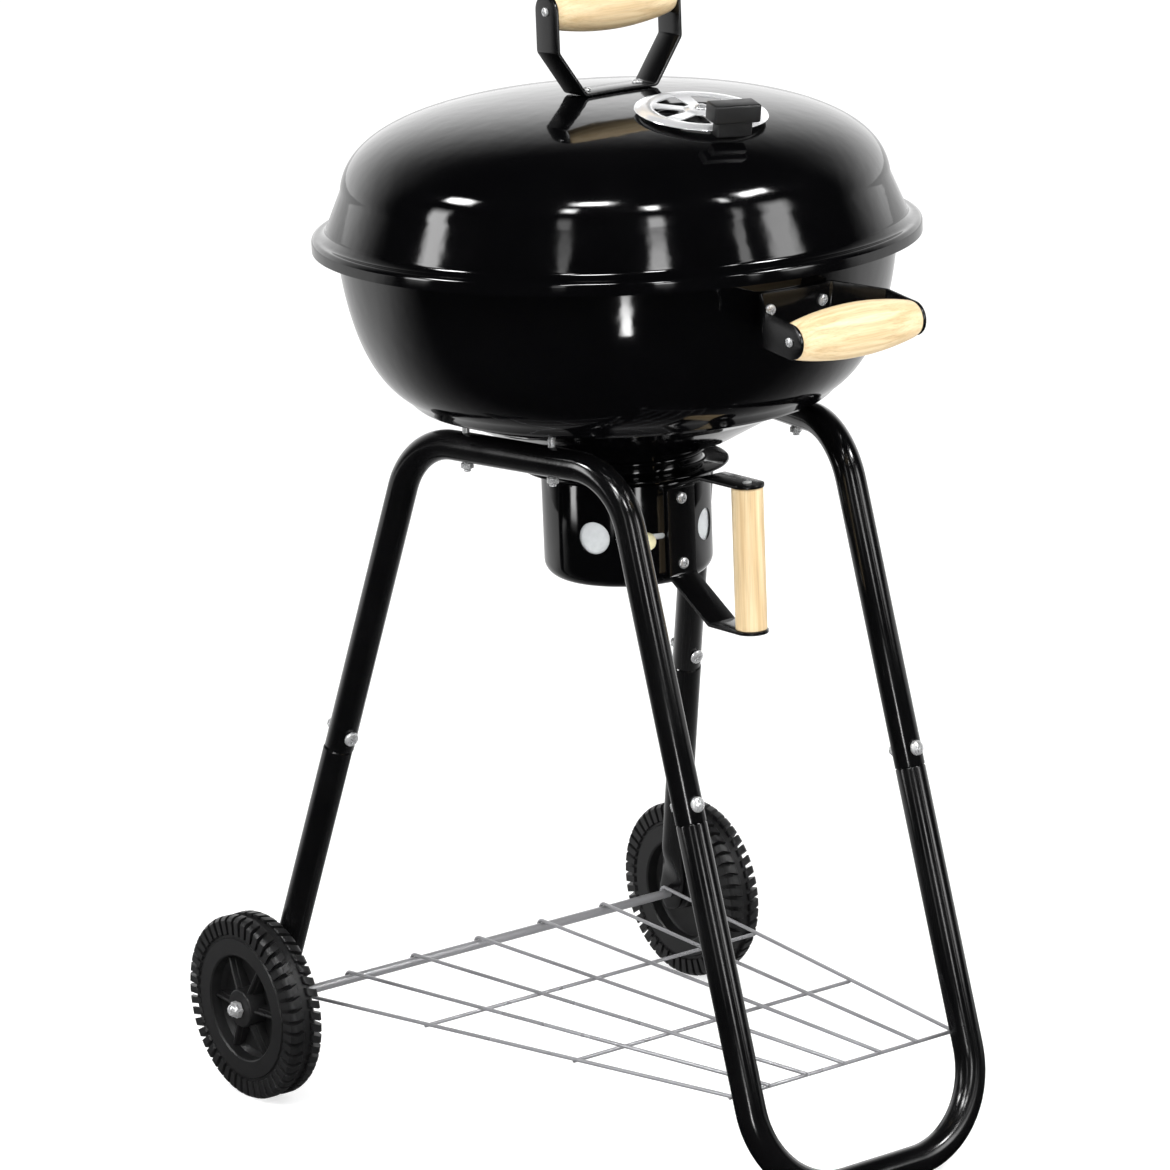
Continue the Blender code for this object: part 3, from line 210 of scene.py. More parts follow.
# %% Enamel, paint and plastic
enamel = lay_coat("black enamel", ((0.0008, 0.0008, 0.0010), (0.0014, 0.0014, 0.0016)), (0.05, 0.10),
                  ripples=60.0, depth=0.00016)
paint = lay_coat("black gloss paint", ((0.0012, 0.0012, 0.0014), (0.0026, 0.0026, 0.0028)), (0.12, 0.20),
                 ripples=260.0, depth=0.00003)
plastic = lay_coat("black moulded plastic", ((0.0045, 0.0045, 0.0048), (0.0080, 0.0080, 0.0084)),
                   (0.38, 0.48), ripples=1400.0, depth=0.00004, patches=45.0)
print("black coats:", enamel.name, "/", paint.name, "/", plastic.name)

# %% [markdown]
# ## Bare metals and the pale knob
# Chrome plate on the vent is bright and cool. Screws and nuts are zinc plated, greyer and duller. The grates
# are plated wire that mirrors what is around it, and the shelf and axle drawn wire that has gone grey. The
# sleeve in the ash can is galvanised sheet, whose zinc forms pale crystals, so its tone changes in patches
# of a few millimetres. The damper's knob is a pale moulded ball.

# %% Chrome, zinc, wire, galvanised sheet and the knob
chrome = lay_coat("chrome plate", ((0.70, 0.71, 0.72), (0.78, 0.78, 0.79)), (0.10, 0.18),
                  ripples=120.0, depth=0.00002, metal=0.55)
zinc = lay_coat("zinc plate", ((0.56, 0.57, 0.59), (0.72, 0.72, 0.71)), (0.22, 0.34),
                ripples=700.0, depth=0.000012, metal=0.72, patches=160.0)
plated_wire = lay_coat("plated wire", ((0.50, 0.50, 0.51), (0.66, 0.66, 0.65)), (0.16, 0.28),
                       ripples=500.0, depth=0.00002, metal=1.0, patches=60.0)
galvanised = lay_coat("galvanised sheet", ((0.44, 0.46, 0.47), (0.62, 0.64, 0.65)), (0.38, 0.55),
                      ripples=300.0, depth=0.00003, metal=0.05, patches=220.0)
bright_wire = lay_coat("bright drawn wire", ((0.27, 0.27, 0.28), (0.34, 0.34, 0.35)), (0.26, 0.32),
                       ripples=60.0, depth=0.000004, metal=0.50, patches=6.0)
pale_knob = lay_coat("pale moulded ball", ((0.74, 0.68, 0.40), (0.84, 0.79, 0.52)), (0.25, 0.35),
                     ripples=500.0, depth=0.00003, patches=90.0)
print("metals:", chrome.name, "/", zinc.name, "/", plated_wire.name, "/", galvanised.name)

# %% [markdown]
# ## Pale wood
# The grips are turned from a pale, straight-grained wood. Grain is long and thin, so the noise that draws it
# is squeezed across the grip and stretched along it: each grip is built with its own Z along its length, and
# the object's own coordinates carry the grain. Broad bands give the growth rings, thin dark dashes the
# vessels, and the vessels drive a faint bump.

# %% Wood
wood = bpy.data.materials.new("pale straight-grained wood")
wood.use_nodes = True
tree = wood.node_tree
wood_shader = tree.nodes["Principled BSDF"]
place = add_node(tree, "ShaderNodeTexCoord").outputs["Object"]
along = add_node(tree, "ShaderNodeMapping", Vector=place, Scale=(150.0, 150.0, 5.0)).outputs["Vector"]
bands = add_node(tree, "ShaderNodeTexNoise", Vector=along, Scale=1.0, Detail=4.0, Roughness=0.55,
                 Distortion=0.6)
fine = add_node(tree, "ShaderNodeMapping", Vector=place, Scale=(1500.0, 1500.0, 26.0)).outputs["Vector"]
vessels = add_node(tree, "ShaderNodeTexNoise", Vector=fine, Scale=1.0, Detail=2.0)
band_tone = add_node(tree, "ShaderNodeValToRGB", Fac=bands.outputs["Fac"])
band_tone.color_ramp.elements[0].position = 0.34
band_tone.color_ramp.elements[0].color = (0.50, 0.35, 0.18, 1)
band_tone.color_ramp.elements[1].position = 0.62
band_tone.color_ramp.elements[1].color = (0.68, 0.54, 0.33, 1)
dashes = add_node(tree, "ShaderNodeMapRange", Value=vessels.outputs["Fac"], From_Min=0.28, From_Max=0.50,
                  To_Min=0.80, To_Max=1.0)
grain = add_node(tree, "ShaderNodeMix", {"data_type": "RGBA", "blend_type": "MULTIPLY"}, _0=1.0,
                 _6=band_tone.outputs["Color"], _7=dashes.outputs["Result"])
tree.links.new(grain.outputs[2], wood_shader.inputs["Base Color"])
lacquer = add_node(tree, "ShaderNodeGroup", {"node_tree": sheen}, Place=along, Patches_per_metre=2.0,
                   Least=0.36, Most=0.52)
tree.links.new(lacquer.outputs["Roughness"], wood_shader.inputs["Roughness"])
fibres = add_node(tree, "ShaderNodeBump", Height=vessels.outputs["Fac"], Distance=0.00006, Strength=0.6)
tree.links.new(fibres.outputs["Normal"], wood_shader.inputs["Normal"])
print("wood ready, grain along each grip's own Z")

# %% [markdown]
# ## Lines to build from
# Nearly every piece here is a line that is spun, swept or given a thickness. These helpers draw the lines:
# a cubic curve for pressed shells, an arc for curls and balls, and a path whose corners are rounded to one
# radius, as a tube bender leaves them.

# %% Curves, arcs and rounded corners
def between(low, high, share):
    return low + (high - low) * share


def cubic(p0, p1, p2, p3, steps):
    """Points of a cubic curve, both ends included."""
    points = []
    for i in range(steps + 1):
        t = i / steps
        a, b, c, d = (1 - t) ** 3, 3 * (1 - t) ** 2 * t, 3 * (1 - t) * t * t, t**3
        points.append(tuple(a * p + b * q + c * r + d * s for p, q, r, s in zip(p0, p1, p2, p3)))
    return points


def arc(centre, radius, start, end, steps):
    """Points of an arc from start to end, in degrees."""
    angles = [math.radians(between(start, end, i / steps)) for i in range(steps + 1)]
    return [(centre[0] + radius * math.cos(a), centre[1] + radius * math.sin(a)) for a in angles]


def rounded(points, radius, steps):
    """An open path whose inner corners are turned into arcs of one radius."""
    points = [Vector(p) for p in points]
    path = [points[0]]
    for before, corner, after in zip(points, points[1:], points[2:]):
        back = (before - corner).normalized()
        ahead = (after - corner).normalized()
        half = back.angle(ahead) / 2
        centre = corner + (back + ahead).normalized() * radius / math.sin(half)
        first = (corner + back * radius / math.tan(half) - centre).normalized()
        last = (corner + ahead * radius / math.tan(half) - centre).normalized()
        path += [centre + radius * first.slerp(last, i / steps) for i in range(steps + 1)]
    return path + [points[-1]]


def facing(origin, direction):
    """A matrix whose origin is at a point and whose +Z runs along a direction."""
    turn = Vector(direction).to_track_quat("Z", "Y").to_matrix().to_4x4()
    return Matrix.Translation(origin) @ turn


print("a rounded corner has", len(rounded([(0, 0, 0), (1, 0, 0), (1, 1, 0)], 0.1, 8)), "points")

# %% [markdown]
# ## Spinning a line into a shell
# Pressed and turned pieces are round, so a line spun about Z gives them exactly. A Screw modifier would do,
# but faces made by hand keep the axis clean and the piece ready to be drilled. A pressed shell also has two
# sides: its inner line is the outer one moved in by the thickness of the steel.

# %% Spin
ROUND = 144


def finished(name, shape, sharp_from=35):
    """Makes an object of a bmesh, smooth except over edges sharper than this angle."""
    bmesh.ops.recalc_face_normals(shape, faces=shape.faces)
    mesh = bpy.data.meshes.new(name)
    shape.to_mesh(mesh)
    shape.free()
    mesh.shade_smooth()
    mesh.set_sharp_from_angle(angle=math.radians(sharp_from))
    made = bpy.data.objects.new(name, mesh)
    bpy.context.scene.collection.objects.link(made)
    return made


def add_spin(shape, outline, steps, closed=False, place=None):
    """Adds the spin of a (radius, height) line about Z. A point on the axis becomes one vertex."""
    rings = []
    for r, z in outline:
        turns = steps if r > 1e-6 else 1
        points = [Vector((r * math.cos(2 * math.pi * i / steps), r * math.sin(2 * math.pi * i / steps), z))
                  for i in range(turns)]
        rings.append([shape.verts.new(place @ p if place else p) for p in points])
    for upper, lower in zip(rings, rings[1:] + (rings[:1] if closed else [])):
        for i in range(steps):
            ring_and_step = (upper, i), (upper, i + 1), (lower, i + 1), (lower, i)
            corners = list(dict.fromkeys(ring[j % len(ring)] for ring, j in ring_and_step))
            if len(corners) > 2:
                shape.faces.new(corners)


def spun(name, outline, steps=ROUND, closed=False):
    shape = bmesh.new()
    add_spin(shape, outline, steps, closed)
    return finished(name, shape)


def sheet(outline, thickness):
    """The outer line, and then the inner one back again, a sheet's thickness inside it."""
    points = [Vector(p) for p in outline]
    inner = []
    for i, point in enumerate(points):
        ways = [(b - a).normalized() for a, b in zip(points[max(i - 1, 0):], points[max(i - 1, 0) + 1:i + 2])]
        way = sum(ways, Vector((0, 0))).normalized()
        reach = thickness / max(0.5, way.dot(ways[0]))
        inner.append((point.x + way.y * reach, point.y - way.x * reach))
    return list(outline) + inner[::-1]


print("shells are spun in", ROUND, "steps")

# %% [markdown]
# ## Drilling a shell without spoiling its gloss
# A Boolean leaves long thin faces around each hole, and a mirror finish shows every one of them. The cure is
# to give each corner of the cut mesh the normal that its outline has there, as if nothing had been cut. Only
# the walls of the holes keep their own normals.

# %% Drill and restore the normals
def restore_normals(mesh, outline):
    """Sets corner normals from the closed line that the mesh was spun from."""
    start = np.array(outline)
    step = np.roll(start, -1, axis=0) - start
    length = np.maximum(np.linalg.norm(step, axis=1), 1e-9)
    out = np.stack([-step[:, 1], step[:, 0]], axis=1) / length[:, None]
    soft = (out * np.roll(out, 1, axis=0)).sum(1) > math.cos(math.radians(35))
    at_start = np.where(soft[:, None], out + np.roll(out, 1, axis=0), 2 * out)
    at_end = np.where(np.roll(soft, -1)[:, None], out + np.roll(out, -1, axis=0), 2 * out)
    normals = []
    for face in mesh.polygons:
        for index in face.vertices:
            x, y, z = mesh.vertices[index].co
            r = math.hypot(x, y)
            cos, sin = (x / r, y / r) if r > 1e-6 else (1.0, 0.0)
            own = np.array([face.normal.x * cos + face.normal.y * sin, face.normal.z])
            offset = np.array([r, z]) - start
            share = np.clip((offset * step).sum(1) / length**2, 0, 1)
            gap = np.linalg.norm(offset - share[:, None] * step, axis=1)
            best = np.argmin(gap + 0.002 * (1 - out @ own))
            flat = between(at_start[best], at_end[best], share[best])
            flat = flat / np.linalg.norm(flat)
            normal = Vector((flat[0] * cos, flat[0] * sin, flat[1]))
            normals.append(normal if normal.dot(face.normal) > 0.8 else face.normal.copy())
    mesh.normals_split_custom_set(normals)


def drilled(piece, outline, cutter):
    """Cuts the cutter out of a spun piece, removes the cutter and restores the normals."""
    change = piece.modifiers.new("drill", "BOOLEAN")
    change.object = cutter
    change.solver = "EXACT"
    bpy.context.view_layer.update()
    graph = bpy.context.evaluated_depsgraph_get()
    cut_mesh = bpy.data.meshes.new_from_object(piece.evaluated_get(graph))
    piece.modifiers.clear()
    piece.data = cut_mesh
    bpy.data.objects.remove(cutter)
    cut_mesh.shade_smooth()
    restore_normals(cut_mesh, outline)
    return piece


def drill_bit(shape, start, end, radius, steps=32):
    """Adds a closed round bar from start to end."""
    start, end = Vector(start), Vector(end)
    reach = (end - start).length
    line = [(0, 0), (radius, 0), (radius, reach), (0, reach)]
    add_spin(shape, line, steps, place=facing(start, end - start))


print("drills have 32 sides")

# %% [markdown]
# ## The bowl
# A pressed bowl has a rolled rim, a side that turns in, a crease, and a shallow stepped floor with a dished
# sump. The whole section is one line, so the crease and steps stay exactly round. The rim is rolled outwards
# and over, which stiffens the edge and gives the lid something to sit around.

# %% Bowl
GAP = 0.0003
STEEL = 0.0012
KNEE_Z = 0.601
CREASE_Z = KNEE_Z + 0.0169
STEP_Z = KNEE_Z + 0.0115
SUMP_Z = KNEE_Z - 0.0285
BOWL_R = 0.2297
CREASE_R = 0.1761
RIM_Z = 0.7475
CURL_R = 0.0038
RIM_PULL, RIM_LEAN = 0.0474, 0.098
CREASE_PULL, CREASE_SLOPE = 0.0424, 0.508
SIDE_STEPS = 30


def bowl_side(steps):
    """The bowl's side from under the rim down to the crease."""
    top, foot = (BOWL_R, RIM_Z - 0.0055), (CREASE_R, CREASE_Z)
    top_pull = (top[0] - RIM_PULL * math.sin(RIM_LEAN), top[1] - RIM_PULL * math.cos(RIM_LEAN))
    foot_pull = (foot[0] + CREASE_PULL * math.cos(CREASE_SLOPE),
                 foot[1] + CREASE_PULL * math.sin(CREASE_SLOPE))
    return cubic(top, top_pull, foot_pull, foot, steps)


floor_line = [Vector((r, z)) for r, z in (
    bowl_side(SIDE_STEPS)[-2], (0.1745, CREASE_Z - 0.003), (0.1715, STEP_Z), (0.137, KNEE_Z),
    (0.0925, KNEE_Z - 0.024), (0.068, SUMP_Z), (0.060, SUMP_Z))]
bowl_floor = [tuple(p) for p in rounded(floor_line, 0.0018, 4)[1:]]
bowl_line = arc((BOWL_R + CURL_R, RIM_Z), CURL_R, -60, 180, 14) + bowl_side(SIDE_STEPS)[:-1] + bowl_floor
bowl_section = sheet(bowl_line, STEEL)
bowl = spun("bowl_shell", bowl_section, closed=True)
hand_over(bowl, enamel, "bowl")

# %% [markdown]
# ## The lid
# The lid is one deep pressing: a flat crown, a tight shoulder, a side that leans in slightly, and a skirt
# that steps out to a wide turned-down lip over the bowl's rim. It is also spun from one line. The vent's six
# air holes are drilled along the vent's own axis, which leans forward with the crown.

# %% Lid
LID_FOOT_Z = RIM_Z + CURL_R + 2 * STEEL + GAP
LID_TOP_Z = LID_FOOT_Z + 0.1100
LID_R = BOWL_R + 0.0073
LIP_R = BOWL_R + 0.0203
SHOULDER_INSET, SHOULDER_DROP = 0.0121, 0.0741
SHOULDER_PULL, SHOULDER_LEAN = 0.0564, 0.089
CROWN_FLAT = 0.546
CROWN_STEPS = 44
SKIRT_FILLET = 0.007
LIP_FILLET = 0.004
LIP_DROP = 0.0114
VENT_Y = -0.116
VENT_COUNT = 6
AIR_RING_R, AIR_DRILL_R = 0.033, 0.0045
VENT_GRIP = math.radians(-105)


def crown(steps):
    """The lid's section from the centre to the top of its straight side."""
    shoulder = (LID_R - SHOULDER_INSET, LID_TOP_Z - SHOULDER_DROP)
    pull = (shoulder[0] - SHOULDER_PULL * math.sin(SHOULDER_LEAN),
            shoulder[1] + SHOULDER_PULL * math.cos(SHOULDER_LEAN))
    return cubic((0, LID_TOP_Z), (CROWN_FLAT * shoulder[0], LID_TOP_Z), pull, shoulder, steps)


def height_on(line, radius):
    """Height of a section at one radius."""
    for (r0, z0), (r1, z1) in zip(line, line[1:]):
        if min(r0, r1) <= radius <= max(r0, r1) and r0 != r1:
            return between(z0, z1, (radius - r0) / (r1 - r0))
    return line[-1][1]


def radius_on(line, height):
    """Radius of a section that runs downwards, at one height."""
    for (r0, z0), (r1, z1) in zip(line, line[1:]):
        if z1 <= height <= z0:
            return between(r0, r1, (z0 - height) / (z0 - z1))
    return line[-1][0]


def vent_place():
    """Where the vent sits: its origin on the crown, its Z square to it."""
    line = crown(CROWN_STEPS)
    reach = 0.02
    fall = height_on(line, -VENT_Y - reach) - height_on(line, -VENT_Y + reach)
    lean = Matrix.Rotation(math.atan(fall / (2 * reach)), 4, "X")
    return Matrix.Translation((0, VENT_Y, height_on(line, -VENT_Y))) @ lean


def vent_angle(i):
    return VENT_GRIP + 2 * math.pi * (i + 0.5) / VENT_COUNT


skirt = arc((LID_R + SKIRT_FILLET, LID_FOOT_Z + SKIRT_FILLET), SKIRT_FILLET, 180, 270, 10)
lip = arc((LIP_R - LIP_FILLET, LID_FOOT_Z - LIP_FILLET), LIP_FILLET, 90, 0, 8)
lip.append((LIP_R, LID_FOOT_Z - LIP_DROP))
lid_section = sheet(crown(CROWN_STEPS) + skirt + lip, STEEL)
lid = spun("lid_shell", lid_section)
vent = vent_place()
air_drills = bmesh.new()
for i in range(VENT_COUNT):
    spot = AIR_RING_R * Vector((math.cos(vent_angle(i)), math.sin(vent_angle(i)), 0))
    reach = Vector((0, 0, 0.01))
    drill_bit(air_drills, vent @ (spot - reach), vent @ (spot + reach), AIR_DRILL_R)
drilled(lid, lid_section, finished("air_drills", air_drills))
hand_over(lid, enamel, "lid")

# %% [markdown]
# ## The ash collar and can
# Under the bowl hangs a neck with a rolled bead, a wide disc that keeps ash and rain out of the can, and a
# skirt that the can slips over. The can is a small pressed pot with four air holes and a slot. A can like
# this could be lathed, but pressed steel has rounded edges everywhere, so the section keeps a rolled top and
# a soft bottom corner.

# %% Collar and can
CAN_R = 0.0701
CAN_TOP_Z = SUMP_Z - 0.0245
CAN_FOOT_Z = CAN_TOP_Z - 0.0865
AIR_Z = CAN_FOOT_Z + 0.0435
NECK_R = 0.064
DISC_R = 0.086
DISC_Z = CAN_TOP_Z + 0.0065
CAN_CORNER_R = 0.0135
AIR_HOLE_R = 0.0135
CAN_HOLES_AT = -61
SLOT_AT, SLOT_HALF_ANGLE, SLOT_R = -119.5, 17.5, 0.0025
neck_top = SUMP_Z - GAP
bead = [(NECK_R + 0.0026 * math.sin(t), neck_top - 0.0072 + 0.0022 * math.cos(t))
        for t in (math.pi * i / 10 for i in range(11))]
disc_edge = arc((DISC_R - 0.0012, DISC_Z), 0.0012, 90, -90, 6)
skirt_r, skirt_z = CAN_R - 0.0022, CAN_TOP_Z - 0.008
collar_line = [(NECK_R, neck_top)] + bead + [(NECK_R, DISC_Z + 0.0042)]
collar_line += arc((NECK_R + 0.003, DISC_Z + 0.0042), 0.003, 180, 270, 5) + disc_edge
collar_line += [(skirt_r, DISC_Z - 0.0012), (skirt_r, skirt_z), (skirt_r - STEEL, skirt_z),
                (skirt_r - STEEL, DISC_Z), (NECK_R - STEEL, DISC_Z + 0.002), (NECK_R - STEEL, neck_top)]
collar = spun("ash_collar_pressing", collar_line, closed=True)
hand_over(collar, enamel, "ash_collar")


def around(degrees):
    return Vector((math.cos(math.radians(degrees)), math.sin(math.radians(degrees)), 0))


def air_drill_set(first):
    """Four drills a quarter turn apart, the first at an angle, at the height of the can's air holes."""
    shape = bmesh.new()
    for i in range(4):
        way = around(first + 90 * i)
        drill_bit(shape, way * 0.5 * CAN_R + Vector((0, 0, AIR_Z)), way * 1.3 * CAN_R + Vector((0, 0, AIR_Z)),
                  AIR_HOLE_R, 48)
    return shape


can_line = [(CAN_R - 0.0004, CAN_TOP_Z), (CAN_R, CAN_TOP_Z - 0.0006)]
can_line += arc((CAN_R - CAN_CORNER_R, CAN_FOOT_Z + CAN_CORNER_R), CAN_CORNER_R, 0, -90, 14)
can_line.append((0, CAN_FOOT_Z))
can_section = sheet(can_line, STEEL)
can = spun("ash_can_shell", can_section, closed=True)
can_drills = air_drill_set(CAN_HOLES_AT)
slot_half = CAN_R * math.sin(math.radians(SLOT_HALF_ANGLE)) - SLOT_R
slot_line = arc((slot_half, 0), SLOT_R, -90, 90, 8) + arc((-slot_half, 0), SLOT_R, 90, 270, 8)
slot_way = around(SLOT_AT)
slot_place = facing(slot_way * CAN_R + Vector((0, 0, AIR_Z)), slot_way)
ends = [[can_drills.verts.new(slot_place @ Vector((x, y, depth))) for x, y in slot_line]
        for depth in (-0.006, 0.006)]
can_drills.faces.new(ends[0][::-1])
can_drills.faces.new(ends[1])
for i in range(len(slot_line)):
    can_drills.faces.new((ends[0][i - 1], ends[0][i], ends[1][i], ends[1][i - 1]))
drilled(can, can_section, finished("can_drills", can_drills))
hand_over(can, enamel, "ash_catcher")

# %% [markdown]
# ## The air damper in the can
# A galvanised sleeve turns inside the can. Its windows line up with the can's holes or close them, and a pale
# ball on a stem through the slot turns it. At rest its own windows stand beside the can's holes, so bright
# metal shows in them. Round pieces of the CAD have 28 flat sides, and the sleeve is kept as narrow as those
# flats allow, so that it fits inside either can.

# %% Sleeve and knob
CAD_SIDES = 28
CAD_FLAT = math.cos(math.pi / CAD_SIDES)
SLEEVE_R = (CAN_R - STEEL) * CAD_FLAT - GAP
SLEEVE_HALF, SLEEVE_WALL = 0.0175, 0.001
SLEEVE_HOLES_AT, KNOB_AT = -37, -117
sleeve_line = [(SLEEVE_R, AIR_Z + SLEEVE_HALF), (SLEEVE_R, AIR_Z - SLEEVE_HALF),
               (SLEEVE_R - SLEEVE_WALL, AIR_Z - SLEEVE_HALF), (SLEEVE_R - SLEEVE_WALL, AIR_Z + SLEEVE_HALF)]
sleeve = spun("damper_sleeve", sleeve_line, closed=True)
drilled(sleeve, sleeve_line, finished("sleeve_drills", air_drill_set(SLEEVE_HOLES_AT)))
hand_over(sleeve, galvanised, "ash_damper")

BALL_AT, BALL_R = CAN_R + 0.0139, 0.0075
ball_line = [(0, BALL_AT + BALL_R)] + arc((0, BALL_AT), BALL_R, 84, -68, 16)
ball_line += [(0.002, BALL_AT - 0.0072), (0.002, SLEEVE_R - 0.0018), (0.0038, SLEEVE_R - 0.0018),
              (0.0038, SLEEVE_R - 0.0033), (0, SLEEVE_R - 0.0033)]
knob = spun("damper_ball", ball_line, steps=40)
knob.matrix_world = facing((0, 0, AIR_Z), around(KNOB_AT))
hand_over(knob, pale_knob, "ash_damper_knob")

# %% [markdown]
# ## Screws, bolts and nuts
# Every joint on the grill is a pan-head screw with a cross recess, most with a hexagon nut behind. They are
# small, but bright against black, so a plain disc would show at once. The head is a spun dome with the
# recess cut out of it. It is made once for each size and shared by all the screws of that size, as they
# come out of one box.

# %% Fasteners
HEAD_SHARE = 0.55
GRIP_SCREW_R, GRIP_SCREW_LENGTH = 0.002, 0.022
HANDLE_BOLT_R = 0.0025
FRAME_BOLT_R = 0.003
JOINT_HEAD_R, BOWL_HEAD_R = 0.0063, 0.0060
NUT_DEPTH = 0.0026


def screw_mesh(shank, grip, head_r, nut):
    """A screw along -Z whose head sits on z = 0, with its nut if it has one."""
    height = HEAD_SHARE * head_r
    dome = [(head_r * math.sin(t), height * (0.3 + 0.7 * math.cos(t) ** 0.8))
            for t in (math.pi / 2 * i / 10 for i in range(11))]
    head = bmesh.new()
    foot = -grip - (2.6 * shank if nut else 0)
    thread = [(shank * (0.86 if i % 2 else 1.0), between(-grip if nut else -0.003, foot, i / 14))
              for i in range(1, 14)]
    add_spin(head, dome + [(head_r, 0), (shank, 0), (shank, thread[0][1])] + thread + [(0, foot)], 28)
    made = finished("screw", head)
    recess = bmesh.new()
    for turn in (0, 90):
        place = Matrix.Translation((0, 0, height)) @ Matrix.Rotation(math.radians(turn), 4, "Z")
        bmesh.ops.create_cube(recess, size=1, matrix=place @ Matrix.Diagonal(
            (1.15 * head_r, 0.24 * head_r, 0.9 * height, 1)))
        bmesh.ops.create_cone(recess, cap_ends=True, segments=16, radius1=0.1 * head_r, radius2=0.34 * head_r,
                              depth=1.0 * height, matrix=place)
    cutter = finished("recess", recess)
    change = made.modifiers.new("recess", "BOOLEAN")
    change.object = cutter
    change.solver = "EXACT"
    change.use_self = True
    bpy.context.view_layer.update()
    whole = bmesh.new()
    whole.from_mesh(made.evaluated_get(bpy.context.evaluated_depsgraph_get()).to_mesh())
    if nut:
        hexagon = [(1.75 * shank * k, -grip - shank * d) for k, d in
                   ((0.55, 0), (0.90, 0), (1, 0.12), (1, 1.45), (0.90, 1.57), (0.55, 1.57))]
        add_spin(whole, hexagon, 6, closed=True)
    for extra in (made, cutter):
        bpy.data.objects.remove(extra)
    shown = finished("screw", whole, 30)
    mesh = shown.data
    bpy.data.objects.remove(shown)
    return mesh


screw_box = {}


def put_screw(node, seat, outward, shank, grip, head_r=None, nut=True):
    """Takes a screw of this size from the box, or makes the first, and puts its head on the seat."""
    head_r = head_r or 1.9 * shank
    size = (shank, round(grip, 5), head_r, nut)
    if size not in screw_box:
        screw_box[size] = screw_mesh(*size[:2], head_r, nut)
        screw_box[size].materials.append(zinc)
    screw = bpy.data.objects.new(node + "_fastener", screw_box[size])
    bpy.context.scene.collection.objects.link(screw)
    spin = Matrix.Rotation(math.radians(37 * len(node) + 61 * sum(map(ord, node[-6:]))), 4, "Z")
    screw.matrix_world = facing(seat, outward) @ spin
    hand_over(screw, zinc, node)


# %% [markdown]
# ## Straps
# The handles hang on flat steel straps, bent in a press and rounded off at both ends. A strap is a ribbon
# along its bent path, thickened by Solidify, with its long edges broken by a fine Bevel, which is what
# catches the light on the real ones.

# %% Bend a strap
STRAP_HALF = 0.014
STRAP = 0.0025


def strap(name, path, side, half_width):
    """A flat strap with round ends along a path. side is the direction of its width."""
    steps = 10
    first, last = (path[1] - path[0]).normalized(), (path[-2] - path[-1]).normalized()
    turns = [math.pi / 2 * i / steps for i in range(steps + 1)]
    rows = [(path[0] + first * half_width * (1 - math.cos(t)), half_width * math.sin(t)) for t in turns]
    rows += [(point, half_width) for point in path[1:-1]]
    rows += [(path[-1] + last * half_width * (1 - math.cos(t)), half_width * math.sin(t))
             for t in reversed(turns)]
    shape = bmesh.new()
    lines = []
    for point, half in rows:
        edge = [point] if half < 1e-6 else [point - side * half, point, point + side * half]
        lines.append([shape.verts.new(end) for end in edge])
    for one, other in zip(lines, lines[1:]):
        if len(one) == len(other):
            for i in range(2):
                shape.faces.new((one[i], one[i + 1], other[i + 1], other[i]))
        else:
            shape.faces.new(one + other[::-1])
    made = finished(name, shape)
    shell = made.modifiers.new("thickness", "SOLIDIFY")
    shell.thickness = STRAP
    shell.offset = 0
    shell.use_even_offset = True
    edges = made.modifiers.new("broken edges", "BEVEL")
    edges.width = 0.0005
    edges.segments = 2
    edges.angle_limit = math.radians(50)
    return made


# %% [markdown]
# ## Handles
# The lid and both sides of the bowl carry the same handle: a strap whose web follows the wall behind it, two
# arms that splay out and then run straight, and a barrel-shaped wooden grip between them. One function builds
# it in its own frame, with +Z away from the wall, and it is placed three times.

# %% The three barrel grips
REACH = 0.071
HALF_SPAN = 0.0625
ELBOW = 0.038
WEB_HALF = 0.036
BOLT_X = 0.027
BARREL_END_R, BARREL_R = 0.014, 0.0215
EASE = 0.0012


def barrel(half):
    """The grip's outline, fatter in the middle, with slightly rounded ends."""
    points = []
    for i in range(41):
        along = half * (1 - i / 20)
        bulge = max(0, math.cos(math.pi / 2 * abs(along) / half)) ** 0.8
        points.append((between(BARREL_END_R, BARREL_R, bulge), along))
    ends = arc((BARREL_END_R - EASE, half - EASE), EASE, 90, 20, 4)
    return [(0, half)] + ends + points[1:-1] + [(r, -z) for r, z in reversed(ends)] + [(0, -half)]


